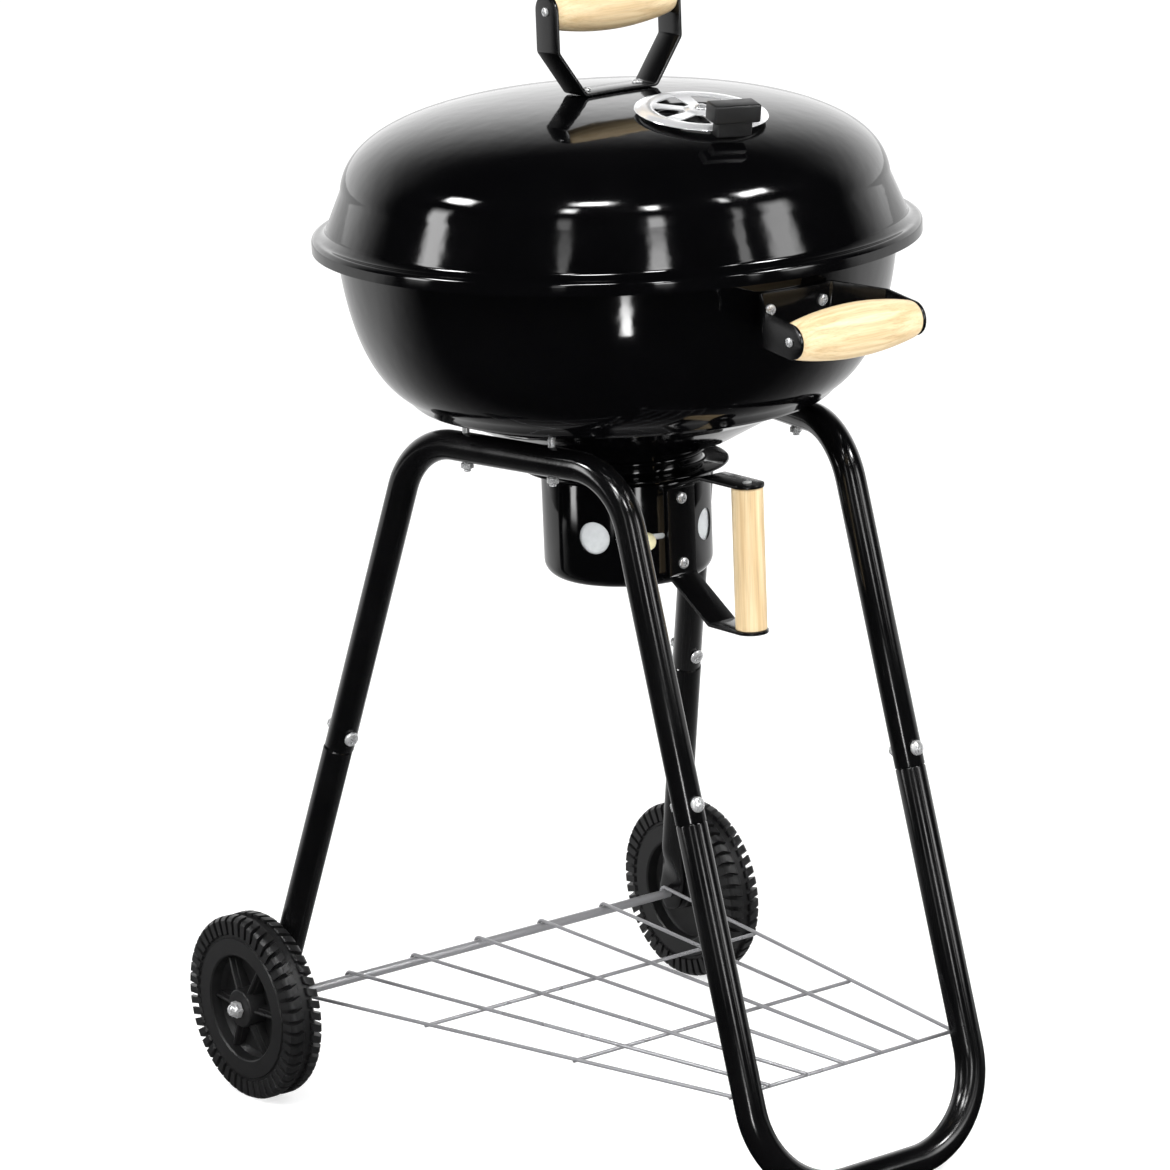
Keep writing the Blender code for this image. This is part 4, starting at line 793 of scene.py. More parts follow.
def build_handle(prefix, base, wall_r, lift, sag=0.0):
    """base has +Z away from the wall and X along the grip. The web follows a wall of radius wall_r, at lift
    above it, and sag is what a bolt's grip gains where the CAD's wall has flat sides."""
    rest = GAP + STRAP / 2 + lift
    feet = [Vector((x, 0, rest - wall_r + math.sqrt(wall_r**2 - x**2))) 
            for x in (-WEB_HALF, -WEB_HALF * 2 / 3, -WEB_HALF / 3, 0)]
    arm = [Vector((-HALF_SPAN, 0, REACH + STRAP_HALF)), Vector((-HALF_SPAN, 0, ELBOW)), feet[0]]
    bent = rounded(arm + [feet[1]], 0.005, 6)[:-1] + feet[1:]
    path = bent + [Vector((-p.x, p.y, p.z)) for p in reversed(bent[:-1])]
    bracket = strap(prefix + "_strap", path, Vector((0, 1, 0)), STRAP_HALF)
    bracket.data.transform(base)
    hand_over(bracket, paint, prefix + "_bracket")

    grip = spun(prefix + "_barrel", barrel(HALF_SPAN - STRAP / 2 - GAP), steps=56)
    grip.matrix_world = facing(base @ Vector((0, 0, REACH)), base.to_3x3() @ Vector((1, 0, 0)))
    hand_over(grip, wood, prefix + "_grip")
    for side, word in ((-1, "left"), (1, "right")):
        away = base.to_3x3() @ Vector((side, 0, 0))
        seat = base @ Vector((side * (HALF_SPAN + STRAP / 2 + GAP), 0, REACH))
        put_screw(f"{prefix}_grip_screw_{word}", seat, away, GRIP_SCREW_R, GRIP_SCREW_LENGTH, nut=False)
        x = side * BOLT_X
        lean = math.asin(x / wall_r)
        out = Vector((math.sin(lean), 0, math.cos(lean)))
        seat = base @ Vector((x, 0, lift - wall_r + math.sqrt(wall_r**2 - x**2) + STRAP + 2 * GAP))
        put_screw(f"{prefix}_bolt_{word}", seat, base.to_3x3() @ out, HANDLE_BOLT_R,
                  STRAP + STEEL + NUT_DEPTH + sag)


chord = 0.060
crown_r = chord**2 / (2 * (LID_TOP_Z - height_on(crown(CROWN_STEPS), chord)))
build_handle("lid_handle", Matrix.Translation((0, 0, LID_TOP_Z)), crown_r, lift=0.0002)

SIDE_Z = CREASE_Z + 0.1241 - 0.025
side_line = bowl_side(SIDE_STEPS)
upper_r, lower_r = radius_on(side_line, SIDE_Z + STRAP_HALF), radius_on(side_line, SIDE_Z - STRAP_HALF)
side_r = max(radius_on(side_line, SIDE_Z), (upper_r + lower_r) / 2)
slope = math.atan((upper_r - lower_r) / (2 * STRAP_HALF))
on_front = Matrix.Translation((0, -side_r, SIDE_Z)) @ Matrix.Rotation(math.pi / 2 + slope, 4, "X")
for word, turn in (("front", 0), ("rear", math.pi)):
    build_handle(f"{word}_handle", Matrix.Rotation(turn, 4, "Z") @ on_front, side_r, lift=0.0004,
                 sag=side_r * (1 - CAD_FLAT))

# %% [markdown]
# ## The ash can's handle
# This handle stands upright beside the can: one strap runs from over the grip, under the disc, down the can's
# wall and out again below. The grip here is a plain round stick with its ends just eased.

# %% Upright grip
STICK_Y = -0.1595
wall_y = -CAN_R - GAP - STRAP / 2
top_z, low_z = CAN_TOP_Z + 0.012, CAN_FOOT_Z - 0.023
can_path = rounded([
    (0, STICK_Y - STRAP_HALF, top_z), (0, -DISC_R - 0.028, top_z), (0, wall_y, CAN_TOP_Z - 0.003),
    (0, wall_y, CAN_FOOT_Z + 0.0085), (0, -DISC_R - 0.035, low_z), (0, STICK_Y - STRAP_HALF, low_z)],
    0.004, 6)
can_strap = strap("ash_can_strap", can_path, Vector((1, 0, 0)), STRAP_HALF)
hand_over(can_strap, paint, "ash_handle_strap")
stick_half = (top_z - low_z) / 2 - STRAP / 2 - GAP
STICK_R = 0.013
stick_line = [(0, stick_half)] + arc((STICK_R - EASE, stick_half - EASE), EASE, 90, 0, 5)
stick = spun("ash_can_stick", stick_line + [(r, -z) for r, z in reversed(stick_line)], steps=48)
stick.matrix_world = Matrix.Translation((0, STICK_Y, (top_z + low_z) / 2))
hand_over(stick, wood, "ash_handle_grip")
for word, z, way in (("top", top_z, 1), ("bottom", low_z, -1)):
    put_screw(f"ash_handle_grip_screw_{word}", (0, STICK_Y, z + way * (STRAP / 2 + GAP)), (0, 0, way),
              GRIP_SCREW_R, GRIP_SCREW_LENGTH, nut=False)
for word, z in (("upper", CAN_TOP_Z - 0.013), ("lower", CAN_FOOT_Z + 0.0185)):
    put_screw(f"ash_handle_bolt_{word}", (0, wall_y - STRAP / 2 - GAP, z), (0, -1, 0), HANDLE_BOLT_R,
              STRAP + STEEL + NUT_DEPTH)

# %% [markdown]
# ## The lid's vent
# A chromed disc with pressed rings and wedge-shaped windows turns on a rivet over the lid's air holes. Its
# windows are stamped out, so they are cut from the spun disc. The grip is a short T of black plastic that
# keeps fingers off the hot lid; both its blocks have rounded edges, as every moulding does.

# %% Vent disc, grip and rivet
VENT_R = 0.054
PLATE_Z = 0.0012
WINDOW_IN_R, WINDOW_OUT_R = 0.0150, 0.0385
TEE_AT = VENT_R + 0.0062
vent_line = [(0.0033, PLATE_Z + 0.0035), (0.0098, PLATE_Z + 0.0035), (0.0112, PLATE_Z + 0.0032),
             (0.0128, PLATE_Z + 0.0024), (0.0145, PLATE_Z + 0.0022), (0.0395, PLATE_Z + 0.0022)]
vent_line += [(between(0.0395, 0.0505, i / 12), PLATE_Z + 0.0022 + 0.0013 * math.sin(math.pi * i / 12) ** 0.7)
              for i in range(1, 12)]
vent_line += [(0.0510, PLATE_Z + 0.0018), (0.0528, PLATE_Z + 0.0014), (VENT_R - 0.0003, PLATE_Z + 0.0012),
              (VENT_R, PLATE_Z + 0.0007)]
vent_section = sheet(vent_line, 0.0010)
disc = spun("vent_disc", vent_section, closed=True)
windows = bmesh.new()
for i in range(VENT_COUNT):
    middle = math.degrees(vent_angle(i))
    corners = arc((0, 0), WINDOW_OUT_R, middle - 20, middle + 20, 4)
    corners += arc((0, 0), WINDOW_IN_R, middle + 12, middle - 12, 2)
    ring = rounded([(*p, 0) for p in corners[-2:] + corners + corners[:1]], 0.0012, 4)[6:-1]
    levels = [[windows.verts.new((p.x, p.y, z)) for p in ring] for z in (-0.01, 0.01)]
    windows.faces.new(levels[0][::-1])
    windows.faces.new(levels[1])
    for j in range(len(ring)):
        windows.faces.new((levels[0][j - 1], levels[0][j], levels[1][j], levels[1][j - 1]))
drilled(disc, vent_section, finished("windows", windows))
disc.matrix_world = vent
hand_over(disc, chrome, "lid_damper")


def soft_block(shape, centre, size, edge):
    """Adds a block with rounded edges."""
    place = Matrix.Translation(centre) @ Matrix.Diagonal((*size, 1))
    made = bmesh.ops.create_cube(shape, size=1, matrix=place)
    edges = {e for vertex in made["verts"] for e in vertex.link_edges}
    bmesh.ops.bevel(shape, geom=list(edges), offset=edge, segments=3, profile=0.5, affect="EDGES")


tee = bmesh.new()
soft_block(tee, (TEE_AT, 0, 0.0075), (0.011, 0.030, 0.0150), 0.0012)
soft_block(tee, (TEE_AT, 0, 0.0195), (0.020, 0.040, 0.0150), 0.0020)
tee_grip = finished("vent_tee_grip", tee, 60)
tee_grip.matrix_world = vent @ Matrix.Rotation(VENT_GRIP, 4, "Z")
hand_over(tee_grip, plastic, "lid_damper_grip")
rivet_top = PLATE_Z + 0.0035 + GAP
RIVET_HEAD_R, RIVET_R = 0.006, 0.003
rivet_line = [(RIVET_HEAD_R * math.sin(t), rivet_top + RIVET_R * math.cos(t))
              for t in (math.pi / 2 * i / 8 for i in range(9))]
rivet_line += [(RIVET_R, rivet_top), (RIVET_R, -0.0021), (RIVET_HEAD_R, -0.0021), (0.0055, -0.0041),
               (0, -0.0041)]
rivet = spun("vent_rivet", rivet_line, steps=32)
rivet.matrix_world = vent
hand_over(rivet, zinc, "lid_damper_rivet")

# %% [markdown]
# ## Sweeping tubes and wires
# Tubes and wires are a round section pushed along a path. A curve with a bevel does this too, but it can't
# change its thickness sharply. The sweep here takes a radius for each point, so a tube's cut end gets a
# small eased lip and a wire a cropped tip.

# %% Sweep
def add_sweep(shape, path, radii, sides=24, cyclic=False):
    path = [Vector(p) for p in path]
    count = len(path)
    across, rings = None, []
    for i, centre in enumerate(path):
        ahead = path[(i + 1) % count] if cyclic else path[min(i + 1, count - 1)]
        behind = path[i - 1] if cyclic else path[max(i - 1, 0)]
        way = (ahead - behind).normalized()
        across = way.orthogonal() if across is None else across
        across = (across - way * across.dot(way)).normalized()
        up = way.cross(across)
        turns = [2 * math.pi * j / sides for j in range(sides)]
        rings.append([shape.verts.new(centre + radii[i] * (across * math.cos(a) + up * math.sin(a)))
                      for a in turns])
    for one, other in zip(rings, rings[1:] + (rings[:1] if cyclic else [])):
        for j in range(sides):
            shape.faces.new((one[j - 1], one[j], other[j], other[j - 1]))
    if not cyclic:
        shape.faces.new(rings[0][::-1])
        shape.faces.new(rings[-1])


def eased(path, radius, ease):
    """The path with an extra point near each end, and radii that round the two ends off."""
    path = [Vector(p) for p in path]
    first, last = (path[1] - path[0]).normalized(), (path[-2] - path[-1]).normalized()
    points = [path[0], path[0] + first * ease * 0.3, path[0] + first * ease] + path[1:-1]
    points += [path[-1] + last * ease, path[-1] + last * ease * 0.3, path[-1]]
    radii = [radius] * len(points)
    radii[0] = radii[-1] = radius - ease
    radii[1] = radii[-2] = radius - 0.3 * ease
    return points, radii


# %% [markdown]
# ## The bent tube stand
# Two bent tubes cradle the bowl, each with a front and a rear leg. Their open ends take the swaged tops of a
# floor tube at the front and of two straight legs at the back. The floor tube's centre is one radius above
# the floor here, as a round tube lies on it.

# %% Upper tubes and the floor tube
TUBE_R = 0.0125
TOP_RUN_Z = 0.586
JOINT_Z = 0.3265
LAP = 0.0145
BEND_R = 0.060
FLOOR_BEND_R = 0.078
AXLE_Y, AXLE_Z = 0.2361, 0.080
LEG_END_X = 0.216
FRONT_TOP, FRONT_FOOT = (0.1148, -0.1403), (0.115, -0.3035)
REAR_TOP = (0.1529, 0.0832)
TUBE_EASE, TUBE_SIDES = 0.0009, 40


def on_leg(line, z):
    top, foot = line
    return top + (foot - top) * ((top.z - z) / (top.z - foot.z))


def legs(side):
    """Centre lines of the front and the rear leg on one side, each from its top corner to its foot."""
    tops = [Vector((side * x, y, TOP_RUN_Z)) for x, y in (FRONT_TOP, REAR_TOP)]
    feet = Vector((side * FRONT_FOOT[0], FRONT_FOOT[1], TUBE_R)), Vector((side * LEG_END_X, AXLE_Y, AXLE_Z))
    return tuple(zip(tops, feet))


def down(line):
    return (line[1] - line[0]).normalized()


for side, word in ((-1, "left"), (1, "right")):
    front, rear = legs(side)
    path = rounded([on_leg(front, JOINT_Z) + down(front) * LAP, front[0], rear[0],
                    on_leg(rear, JOINT_Z) + down(rear) * LAP], BEND_R, 18)
    shape = bmesh.new()
    add_sweep(shape, *eased(path, TUBE_R, TUBE_EASE), sides=TUBE_SIDES)
    hand_over(finished(f"cradle_tube_{word}", shape), paint, f"upper_tube_{word}")

lines = {side: legs(side)[0] for side in (-1, 1)}
floor_path = rounded([on_leg(lines[-1], JOINT_Z) + down(lines[-1]) * (LAP + GAP), lines[-1][1], lines[1][1],
                      on_leg(lines[1], JOINT_Z) + down(lines[1]) * (LAP + GAP)], FLOOR_BEND_R, 24)
shape = bmesh.new()
add_sweep(shape, *eased(floor_path, TUBE_R, TUBE_EASE), sides=TUBE_SIDES)
hand_over(finished("floor_tube", shape), paint, "front_floor_tube")

# %% [markdown]
# ## Rear legs
# Each rear leg is a straight tube whose lower end is pressed flat, to be drilled for the axle. The section
# changes from a circle to a flat oval over four centimetres, so the leg is lofted through rings whose
# thickness and width slide from one to the other.

# %% Rear legs
FLAT_HALF, FLAT_WIDE = 0.003, 0.0155
FOOT_BEND, FLARE = 0.013, 0.040
OVAL = 0.62
for side, word in ((-1, "left"), (1, "right")):
    line = legs(side)[1]
    foot = line[1]
    rise = line[0] - foot
    upright = Vector((0, rise.y, rise.z)).normalized()
    bend = foot + upright * FOOT_BEND
    joint = bend + (line[0] - bend) * ((JOINT_Z - bend.z) / (line[0].z - bend.z))
    way = (line[0] - bend).normalized()
    stations = [(foot - upright * FLAT_WIDE * math.cos(t), upright, FLAT_HALF,
                 max(FLAT_WIDE * math.sin(t), 0.0008)) for t in (math.pi / 2 * i / 8 for i in range(8))]
    stations += [(foot, upright, FLAT_HALF, FLAT_WIDE)]
    stations += [(bend, (upright + way).normalized(), FLAT_HALF, FLAT_WIDE)]
    for i in range(1, 13):
        share = i / 12
        ease = share * share * (3 - 2 * share)
        stations.append((bend + way * FLARE * share, way, between(FLAT_HALF, TUBE_R, ease),
                         between(FLAT_WIDE, TUBE_R, ease)))
    top = joint - way * (LAP + GAP)
    stations += [(top - way * TUBE_EASE, way, TUBE_R, TUBE_R)]
    stations += [(top, way, TUBE_R - TUBE_EASE, TUBE_R - TUBE_EASE)]
    shape = bmesh.new()
    rings = []
    for centre, heading, thick, wide in stations:
        across = Vector((1, 0, 0))
        across = (across - heading * across.dot(heading)).normalized()
        fore = heading.cross(across)
        square = 1 - OVAL * max(0.0, (wide - thick) / FLAT_WIDE)
        ring = []
        for j in range(TUBE_SIDES):
            a = 2 * math.pi * j / TUBE_SIDES
            level = math.copysign(abs(math.cos(a)) ** square, math.cos(a))
            ring.append(shape.verts.new(centre + across * thick * level + fore * wide * math.sin(a)))
        rings.append(ring)
    for one, other in zip(rings, rings[1:]):
        for j in range(TUBE_SIDES):
            shape.faces.new((one[j - 1], one[j], other[j], other[j - 1]))
    shape.faces.new(rings[0][::-1])
    shape.faces.new(rings[-1])
    hand_over(finished(f"wheel_leg_{word}", shape), paint, f"rear_leg_{word}")

# %% [markdown]
# ## Bolts of the stand
# Four bolts lock the tube joints, seen on the front of each leg, and four hold the bowl down onto the top
# runs, with their heads inside the bowl and their nuts under the tubes.

# %% Joint bolts and bowl bolts
BOWL_BOLT_YS = {"front": -0.069, "rear": 0.025}

for side, word in ((-1, "left"), (1, "right")):
    for line, label in zip(legs(side), ("front", "rear")):
        way = down(line)
        forward = Vector((0, -1, 0))
        axis = (forward - way * forward.dot(way)).normalized()
        put_screw(f"{label}_joint_bolt_{word}", on_leg(line, JOINT_Z) + axis * (TUBE_R + GAP), axis,
                  FRAME_BOLT_R, 2 * (TUBE_R + GAP), head_r=JOINT_HEAD_R)
    for label, y in BOWL_BOLT_YS.items():
        low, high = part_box(f"bowl_bolt_{label}_{word}")
        seat_z = high.z - HEAD_SHARE * BOWL_HEAD_R
        put_screw(f"bowl_bolt_{label}_{word}", ((low.x + high.x) / 2, y, seat_z), (0, 0, 1), FRAME_BOLT_R,
                  seat_z - (TOP_RUN_Z - TUBE_R - GAP), head_r=BOWL_HEAD_R)

# %% [markdown]
# ## Grates and their tabs
# Both grates are a ring of thick wire with thinner bars across it and two braces below, spot welded where
# they cross. Each wire is swept on its own and the grate is one mesh, since wires overlap at a weld. Three
# bent tabs inside the bowl carry the cooking grate.

# %% Grates
RING_STEPS = 96
WIRE_SIDES = 12


def grate(node, ring_wire, bar_wire, pitch):
    """A ring at height z, bars across it and two braces. A thin grate's ring is also its highest wire."""
    low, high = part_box(node)
    radius = high.x - ring_wire
    thin = high.z - low.z < 2.2 * ring_wire
    z = high.z - ring_wire if thin else low.z + 0.6 * bar_wire + bar_wire
    shape = bmesh.new()
    turns = [2 * math.pi * i / RING_STEPS for i in range(RING_STEPS)]
    ring = [(radius * math.cos(a), radius * math.sin(a), z) for a in turns]
    add_sweep(shape, ring, [ring_wire] * RING_STEPS, WIRE_SIDES, cyclic=True)
    count = int((radius - ring_wire) / pitch)
    for i in range(-count, count + 1):
        x = math.sqrt(radius**2 - (i * pitch) ** 2)
        add_sweep(shape, [(-x, i * pitch, z + 0.4 * ring_wire), (x, i * pitch, z + 0.4 * ring_wire)],
                  [bar_wire] * 2, WIRE_SIDES)
    for side in (-1, 1):
        x = side * 0.42 * radius
        y = math.sqrt(radius**2 - x**2)
        add_sweep(shape, [(x, -y, z - 0.6 * bar_wire), (x, y, z - 0.6 * bar_wire)], [bar_wire] * 2,
                  WIRE_SIDES)
    hand_over(finished(node + "_wires", shape), plated_wire, node)


grate("cooking_grate", ring_wire=0.003, bar_wire=0.002, pitch=0.030)
grate("charcoal_grate", ring_wire=0.003, bar_wire=0.003, pitch=0.044)
for i in (1, 2, 3):
    tab_mesh = frame["nodes"][f"grate_bracket_{i}"].data.copy()
    tab = bpy.data.objects.new(f"grate_tab_{i}", tab_mesh)
    bpy.context.scene.collection.objects.link(tab)
    edges = tab.modifiers.new("broken edges", "BEVEL")
    edges.width = 0.0004
    edges.segments = 2
    hand_over(tab, plated_wire, f"grate_bracket_{i}")

# %% [markdown]
# ## The wire shelf and the axle
# Seven bright wires fan out from the front legs to hooks over the axle, welded to three cross wires. The
# hooks are wound on a pin a little thicker than the axle, so each ends in an arc.

# %% Shelf and axle
WIRE_R, WIRE_EASE = 0.0016, 0.0004
AXLE_R = 0.004
SHELF_FRONT_Z = 0.0947
SHELF_FRONT_HALF, SHELF_REAR_HALF = 0.117, 0.209
CAD_FLOOR_Z = 0.011588


def shelf_peg(side):
    """Where the CAD's front leg, whose many-sided tube lies a little lower, meets the shelf's height."""
    top = Vector((side * FRONT_TOP[0], FRONT_TOP[1], TOP_RUN_Z))
    foot = Vector((side * FRONT_FOOT[0], FRONT_FOOT[1], CAD_FLOOR_Z))
    return on_leg((top, foot), SHELF_FRONT_Z)


leg_back_y = shelf_peg(1).y + TUBE_R
front_y = leg_back_y + 0.0092
hook_r = AXLE_R + WIRE_R + GAP
shelf = bmesh.new()
for i in range(7):
    share = 2 * i / 6 - 1
    front_x, rear_x = share * SHELF_FRONT_HALF, share * SHELF_REAR_HALF
    hook = [Vector((rear_x, y, z)) for y, z in arc((AXLE_Y, AXLE_Z), hook_r, 90, -45, 10)]
    path = [Vector((front_x, front_y - 0.003, SHELF_FRONT_Z))] + hook
    if abs(share) == 1:
        peg = shelf_peg(share)
        path = rounded([peg, Vector((peg.x, leg_back_y + 0.002, SHELF_FRONT_Z))] + path[:1] + [path[1]],
                       0.0008, 3) + path[2:]
    add_sweep(shelf, *eased(path, WIRE_R, WIRE_EASE), sides=14)
for step in range(3):
    t = step / 3
    half = between(SHELF_FRONT_HALF, SHELF_REAR_HALF, t) + 0.0005
    y, z = between(front_y, AXLE_Y, t), between(SHELF_FRONT_Z, AXLE_Z + hook_r, t) - 1.2 * WIRE_R
    add_sweep(shelf, *eased([(-half, y, z), (half, y, z)], WIRE_R, WIRE_EASE), sides=14)
hand_over(finished("shelf_wires", shelf), bright_wire, "wire_shelf")

axle_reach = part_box("axle")[1].x
axle_line = [(-axle_reach, AXLE_Y, AXLE_Z), (axle_reach, AXLE_Y, AXLE_Z)]
axle_shape = bmesh.new()
add_sweep(axle_shape, *eased(axle_line, AXLE_R, 0.0006), sides=32)
hand_over(finished("axle_rod", axle_shape), bright_wire, "axle")

# %% [markdown]
# ## Wheels
# The wheels are moulded in one piece: a tyre with lugs that wrap over both shoulders, a smooth side ring, and
# a deep dish with a hub and six ribs. The body is spun. Each lug is a small section in the plane of the axle,
# extruded around the rim and skewed a little, so that the tread leans as on a real mould.

# %% Wheels
WHEEL_IN, WHEEL_W, WHEEL_R = 0.2228, 0.0327, 0.080
LUGS = 48
RIBS = 6
LUG_HALF = 0.31
HUB_R = 0.0165
TREAD_R = WHEEL_R - 0.0036
RING_R = 0.77 * WHEEL_R
DISH_R = 0.56 * WHEEL_R


def wheel_line():
    """The wheel's section, from the hub's outer face over the tread and back along the inner side."""
    w = WHEEL_W
    line = [(0.0044, w), (HUB_R - 0.0015, w)] + arc((HUB_R - 0.0015, w - 0.0015), 0.0015, 80, 0, 4)
    line += [(HUB_R + 0.0008, 0.50 * w), (DISH_R - 0.004, 0.54 * w)]
    line += [(DISH_R, 0.54 * w + 0.004), (DISH_R + 0.0010, w - 0.0024), (DISH_R + 0.0022, w - 0.0012)]
    line += [(RING_R - 0.0008, w - 0.0012), (RING_R, w - 0.0026), (RING_R + 0.0010, w - 0.0026)]
    line += [(TREAD_R - 0.006, w - 0.0034), (TREAD_R, w - 0.0085)]
    line += [(TREAD_R, 0.0085), (TREAD_R - 0.006, 0.0034), (RING_R, 0.0026), (RING_R - 0.0008, 0.0012)]
    line += [(DISH_R + 0.0022, 0.0012), (DISH_R + 0.0010, 0.0024)]
    line += [(DISH_R, 0.36 * w), (DISH_R - 0.004, 0.42 * w), (HUB_R + 0.0008, 0.42 * w), (HUB_R, 0.0010)]
    return line + [(HUB_R - 0.0010, 0), (0.0044, 0)]


def add_lug(shape, angle, top, way):
    """One lug. Its inner end is on the tread, and it wraps over the shoulder at height top, towards way."""
    pitch = 2 * math.pi / LUGS
    line = [(TREAD_R - 0.001, top - way * 0.0125, 0.34), (WHEEL_R - 0.0006, top - way * 0.0125, 0.34),
            (WHEEL_R, top - way * 0.0118, 0.26), (WHEEL_R, top - way * 0.0052, 0.03),
            (WHEEL_R - 0.0014, top - way * 0.0022, 0.0), (WHEEL_R - 0.0036, top - way * 0.0006, 0.0),
            (RING_R + 0.0030, top - way * 0.0006, 0.0), (RING_R + 0.0022, top - way * 0.0030, 0.0)]
    faces = []
    for edge in (-LUG_HALF, LUG_HALF):
        ring = []
        for r, z, lean in line:
            turn = angle + (lean + edge) * pitch
            ring.append(shape.verts.new((r * math.cos(turn), r * math.sin(turn), z)))
        faces.append(ring)
    shape.faces.new(faces[0][::-1])
    shape.faces.new(faces[1])
    for j in range(len(line)):
        shape.faces.new((faces[0][j - 1], faces[0][j], faces[1][j], faces[1][j - 1]))


def add_rib(shape, angle):
    """A rib of the dish: a low web with a rounded crest, falling away from the hub."""
    turn = Matrix.Rotation(angle, 4, "Z")
    w = WHEEL_W
    near, far = HUB_R - 0.002, DISH_R + 0.0008
    rows = []
    for r, crest in ((near, w - 0.0030), (between(near, far, 0.5), 0.86 * w), (far, 0.80 * w)):
        half = [(0.0014, crest - 0.0008), (0.0018, crest - 0.0046), (0.0032, crest - 0.0050),
                (0.0040, 0.5 * w)]
        outline = [(-y, z) for y, z in reversed(half)] + [(0, crest)] + half
        rows.append([shape.verts.new(turn @ Vector((r, y, z))) for y, z in outline])
    for one, other in zip(rows, rows[1:]):
        for j in range(len(one)):
            shape.faces.new((one[j - 1], one[j], other[j], other[j - 1]))
    shape.faces.new(rows[0][::-1])
    shape.faces.new(rows[-1])


for side, word in ((-1, "left"), (1, "right")):
    shape = bmesh.new()
    add_spin(shape, wheel_line(), 120, closed=True)
    for i in range(LUGS):
        add_lug(shape, 2 * math.pi * i / LUGS, WHEEL_W, 1)
        add_lug(shape, 2 * math.pi * (i + 0.5) / LUGS, 0.0, -1)
    for i in range(RIBS):
        add_rib(shape, 2 * math.pi * i / RIBS)
    wheel = finished(f"moulded_wheel_{word}", shape, 32)
    wheel.matrix_world = facing((side * WHEEL_IN, AXLE_Y, AXLE_Z), (side, 0, 0))
    hand_over(wheel, plastic, f"wheel_{word}")

    shape = bmesh.new()
    hexagon = [(0.0042, 0), (0.0066, 0), (0.0075, 0.0007), (0.0075, 0.0053), (0.0066, 0.0060),
               (0.0042, 0.0060)]
    add_spin(shape, hexagon, 6, closed=True)
    cap = [(0.0043, 0.0040), (0.0062, 0.0056)] + arc((0, 0.0048), 0.0061, 12, 84, 8) + [(0, 0.0109)]
    add_spin(shape, cap, 32)
    cap_nut = finished(f"cap_nut_{word}", shape)
    cap_nut.matrix_world = facing((side * (WHEEL_IN + WHEEL_W + GAP), AXLE_Y, AXLE_Z), (side, 0, 0))
    hand_over(cap_nut, zinc, f"axle_nut_{word}")

# %% [markdown]
# ## The floor
# The floor is a plain pale plane with a soft contact shadow. Gloss black shows whatever surrounds it, and a
# studio floor fades into the dark in front of a product, so mirror rays meet a floor that is pale under and
# behind the grill and dark before it. That choice is made with Light Path, which is allowed in a material
# itself.

# %% Floor
VIEW_YAW = math.radians(37.066)
ahead = Vector((math.sin(VIEW_YAW), math.cos(VIEW_YAW), 0))
rightward = Vector((math.cos(VIEW_YAW), -math.sin(VIEW_YAW), 0))

floor_shape = bmesh.new()
bmesh.ops.create_grid(floor_shape, x_segments=8, y_segments=8, size=30)
floor = finished("pale_floor", floor_shape)
floor_finish = bpy.data.materials.new("pale floor")
floor_finish.use_nodes = True
tree = floor_finish.node_tree
pale = tree.nodes["Principled BSDF"]
for label, value in (("Base Color", (0.45, 0.45, 0.45, 1)), ("Roughness", 0.9), ("Specular IOR Level", 0.0),
                     ("Emission Color", (1, 1, 1, 1)), ("Emission Strength", 0.66)):
    pale.inputs[label].default_value = value
spot = add_node(tree, "ShaderNodeTexCoord").outputs["Object"]
depth = add_node(tree, "ShaderNodeVectorMath", {"operation": "DOT_PRODUCT"}, _0=spot, _1=tuple(ahead))
fade = add_node(tree, "ShaderNodeMapRange", {"interpolation_type": "SMOOTHSTEP"}, Value=depth.outputs["Value"],
                From_Min=-0.20, From_Max=1.10, To_Min=0.006, To_Max=0.85)
mirrored = add_node(tree, "ShaderNodeEmission", Strength=fade.outputs["Result"])
path_kind = add_node(tree, "ShaderNodeLightPath")
choice = add_node(tree, "ShaderNodeMixShader", _0=path_kind.outputs["Is Glossy Ray"],
                  _1=pale.outputs["BSDF"], _2=mirrored.outputs["Emission"])
tree.links.new(choice.outputs["Shader"], tree.nodes["Material Output"].inputs["Surface"])
floor.data.materials.append(floor_finish)
floor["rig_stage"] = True
print("floor ready")

# %% [markdown]
# ## The studio around the grill
# Behind the grill stands a bright backdrop that fades towards the ceiling: it gives the lid its grey gradient
# and every black edge its thin light rim. In front it is dark. Only reflections see this room. Everything
# else sees plain white, so that the picture's own background stays even.

# %% World
world = bpy.data.worlds.new("studio")
bpy.context.scene.world = world
world.use_nodes = True
tree = world.node_tree
tree.nodes.clear()
way = add_node(tree, "ShaderNodeTexCoord").outputs["Generated"]
behind = add_node(tree, "ShaderNodeVectorMath", {"operation": "DOT_PRODUCT"}, _0=way, _1=tuple(ahead))
backdrop = add_node(tree, "ShaderNodeMapRange", {"interpolation_type": "SMOOTHSTEP"},
                    Value=behind.outputs["Value"], From_Min=0.25, From_Max=0.85, To_Min=0.002, To_Max=1.25)
height = add_node(tree, "ShaderNodeSeparateXYZ", Vector=way)
ceiling = add_node(tree, "ShaderNodeMapRange", {"interpolation_type": "SMOOTHSTEP"}, Value=height.outputs["Z"],
                   From_Min=0.18, From_Max=0.80, To_Min=1.5, To_Max=0.02)
glow = add_node(tree, "ShaderNodeMath", {"operation": "MULTIPLY"}, _0=backdrop.outputs["Result"],
                _1=ceiling.outputs["Result"])
studio_light = add_node(tree, "ShaderNodeBackground", Strength=glow.outputs["Value"])
plain_light = add_node(tree, "ShaderNodeBackground", Color=(1, 1, 1, 1), Strength=1.0)
path_kind = add_node(tree, "ShaderNodeLightPath")
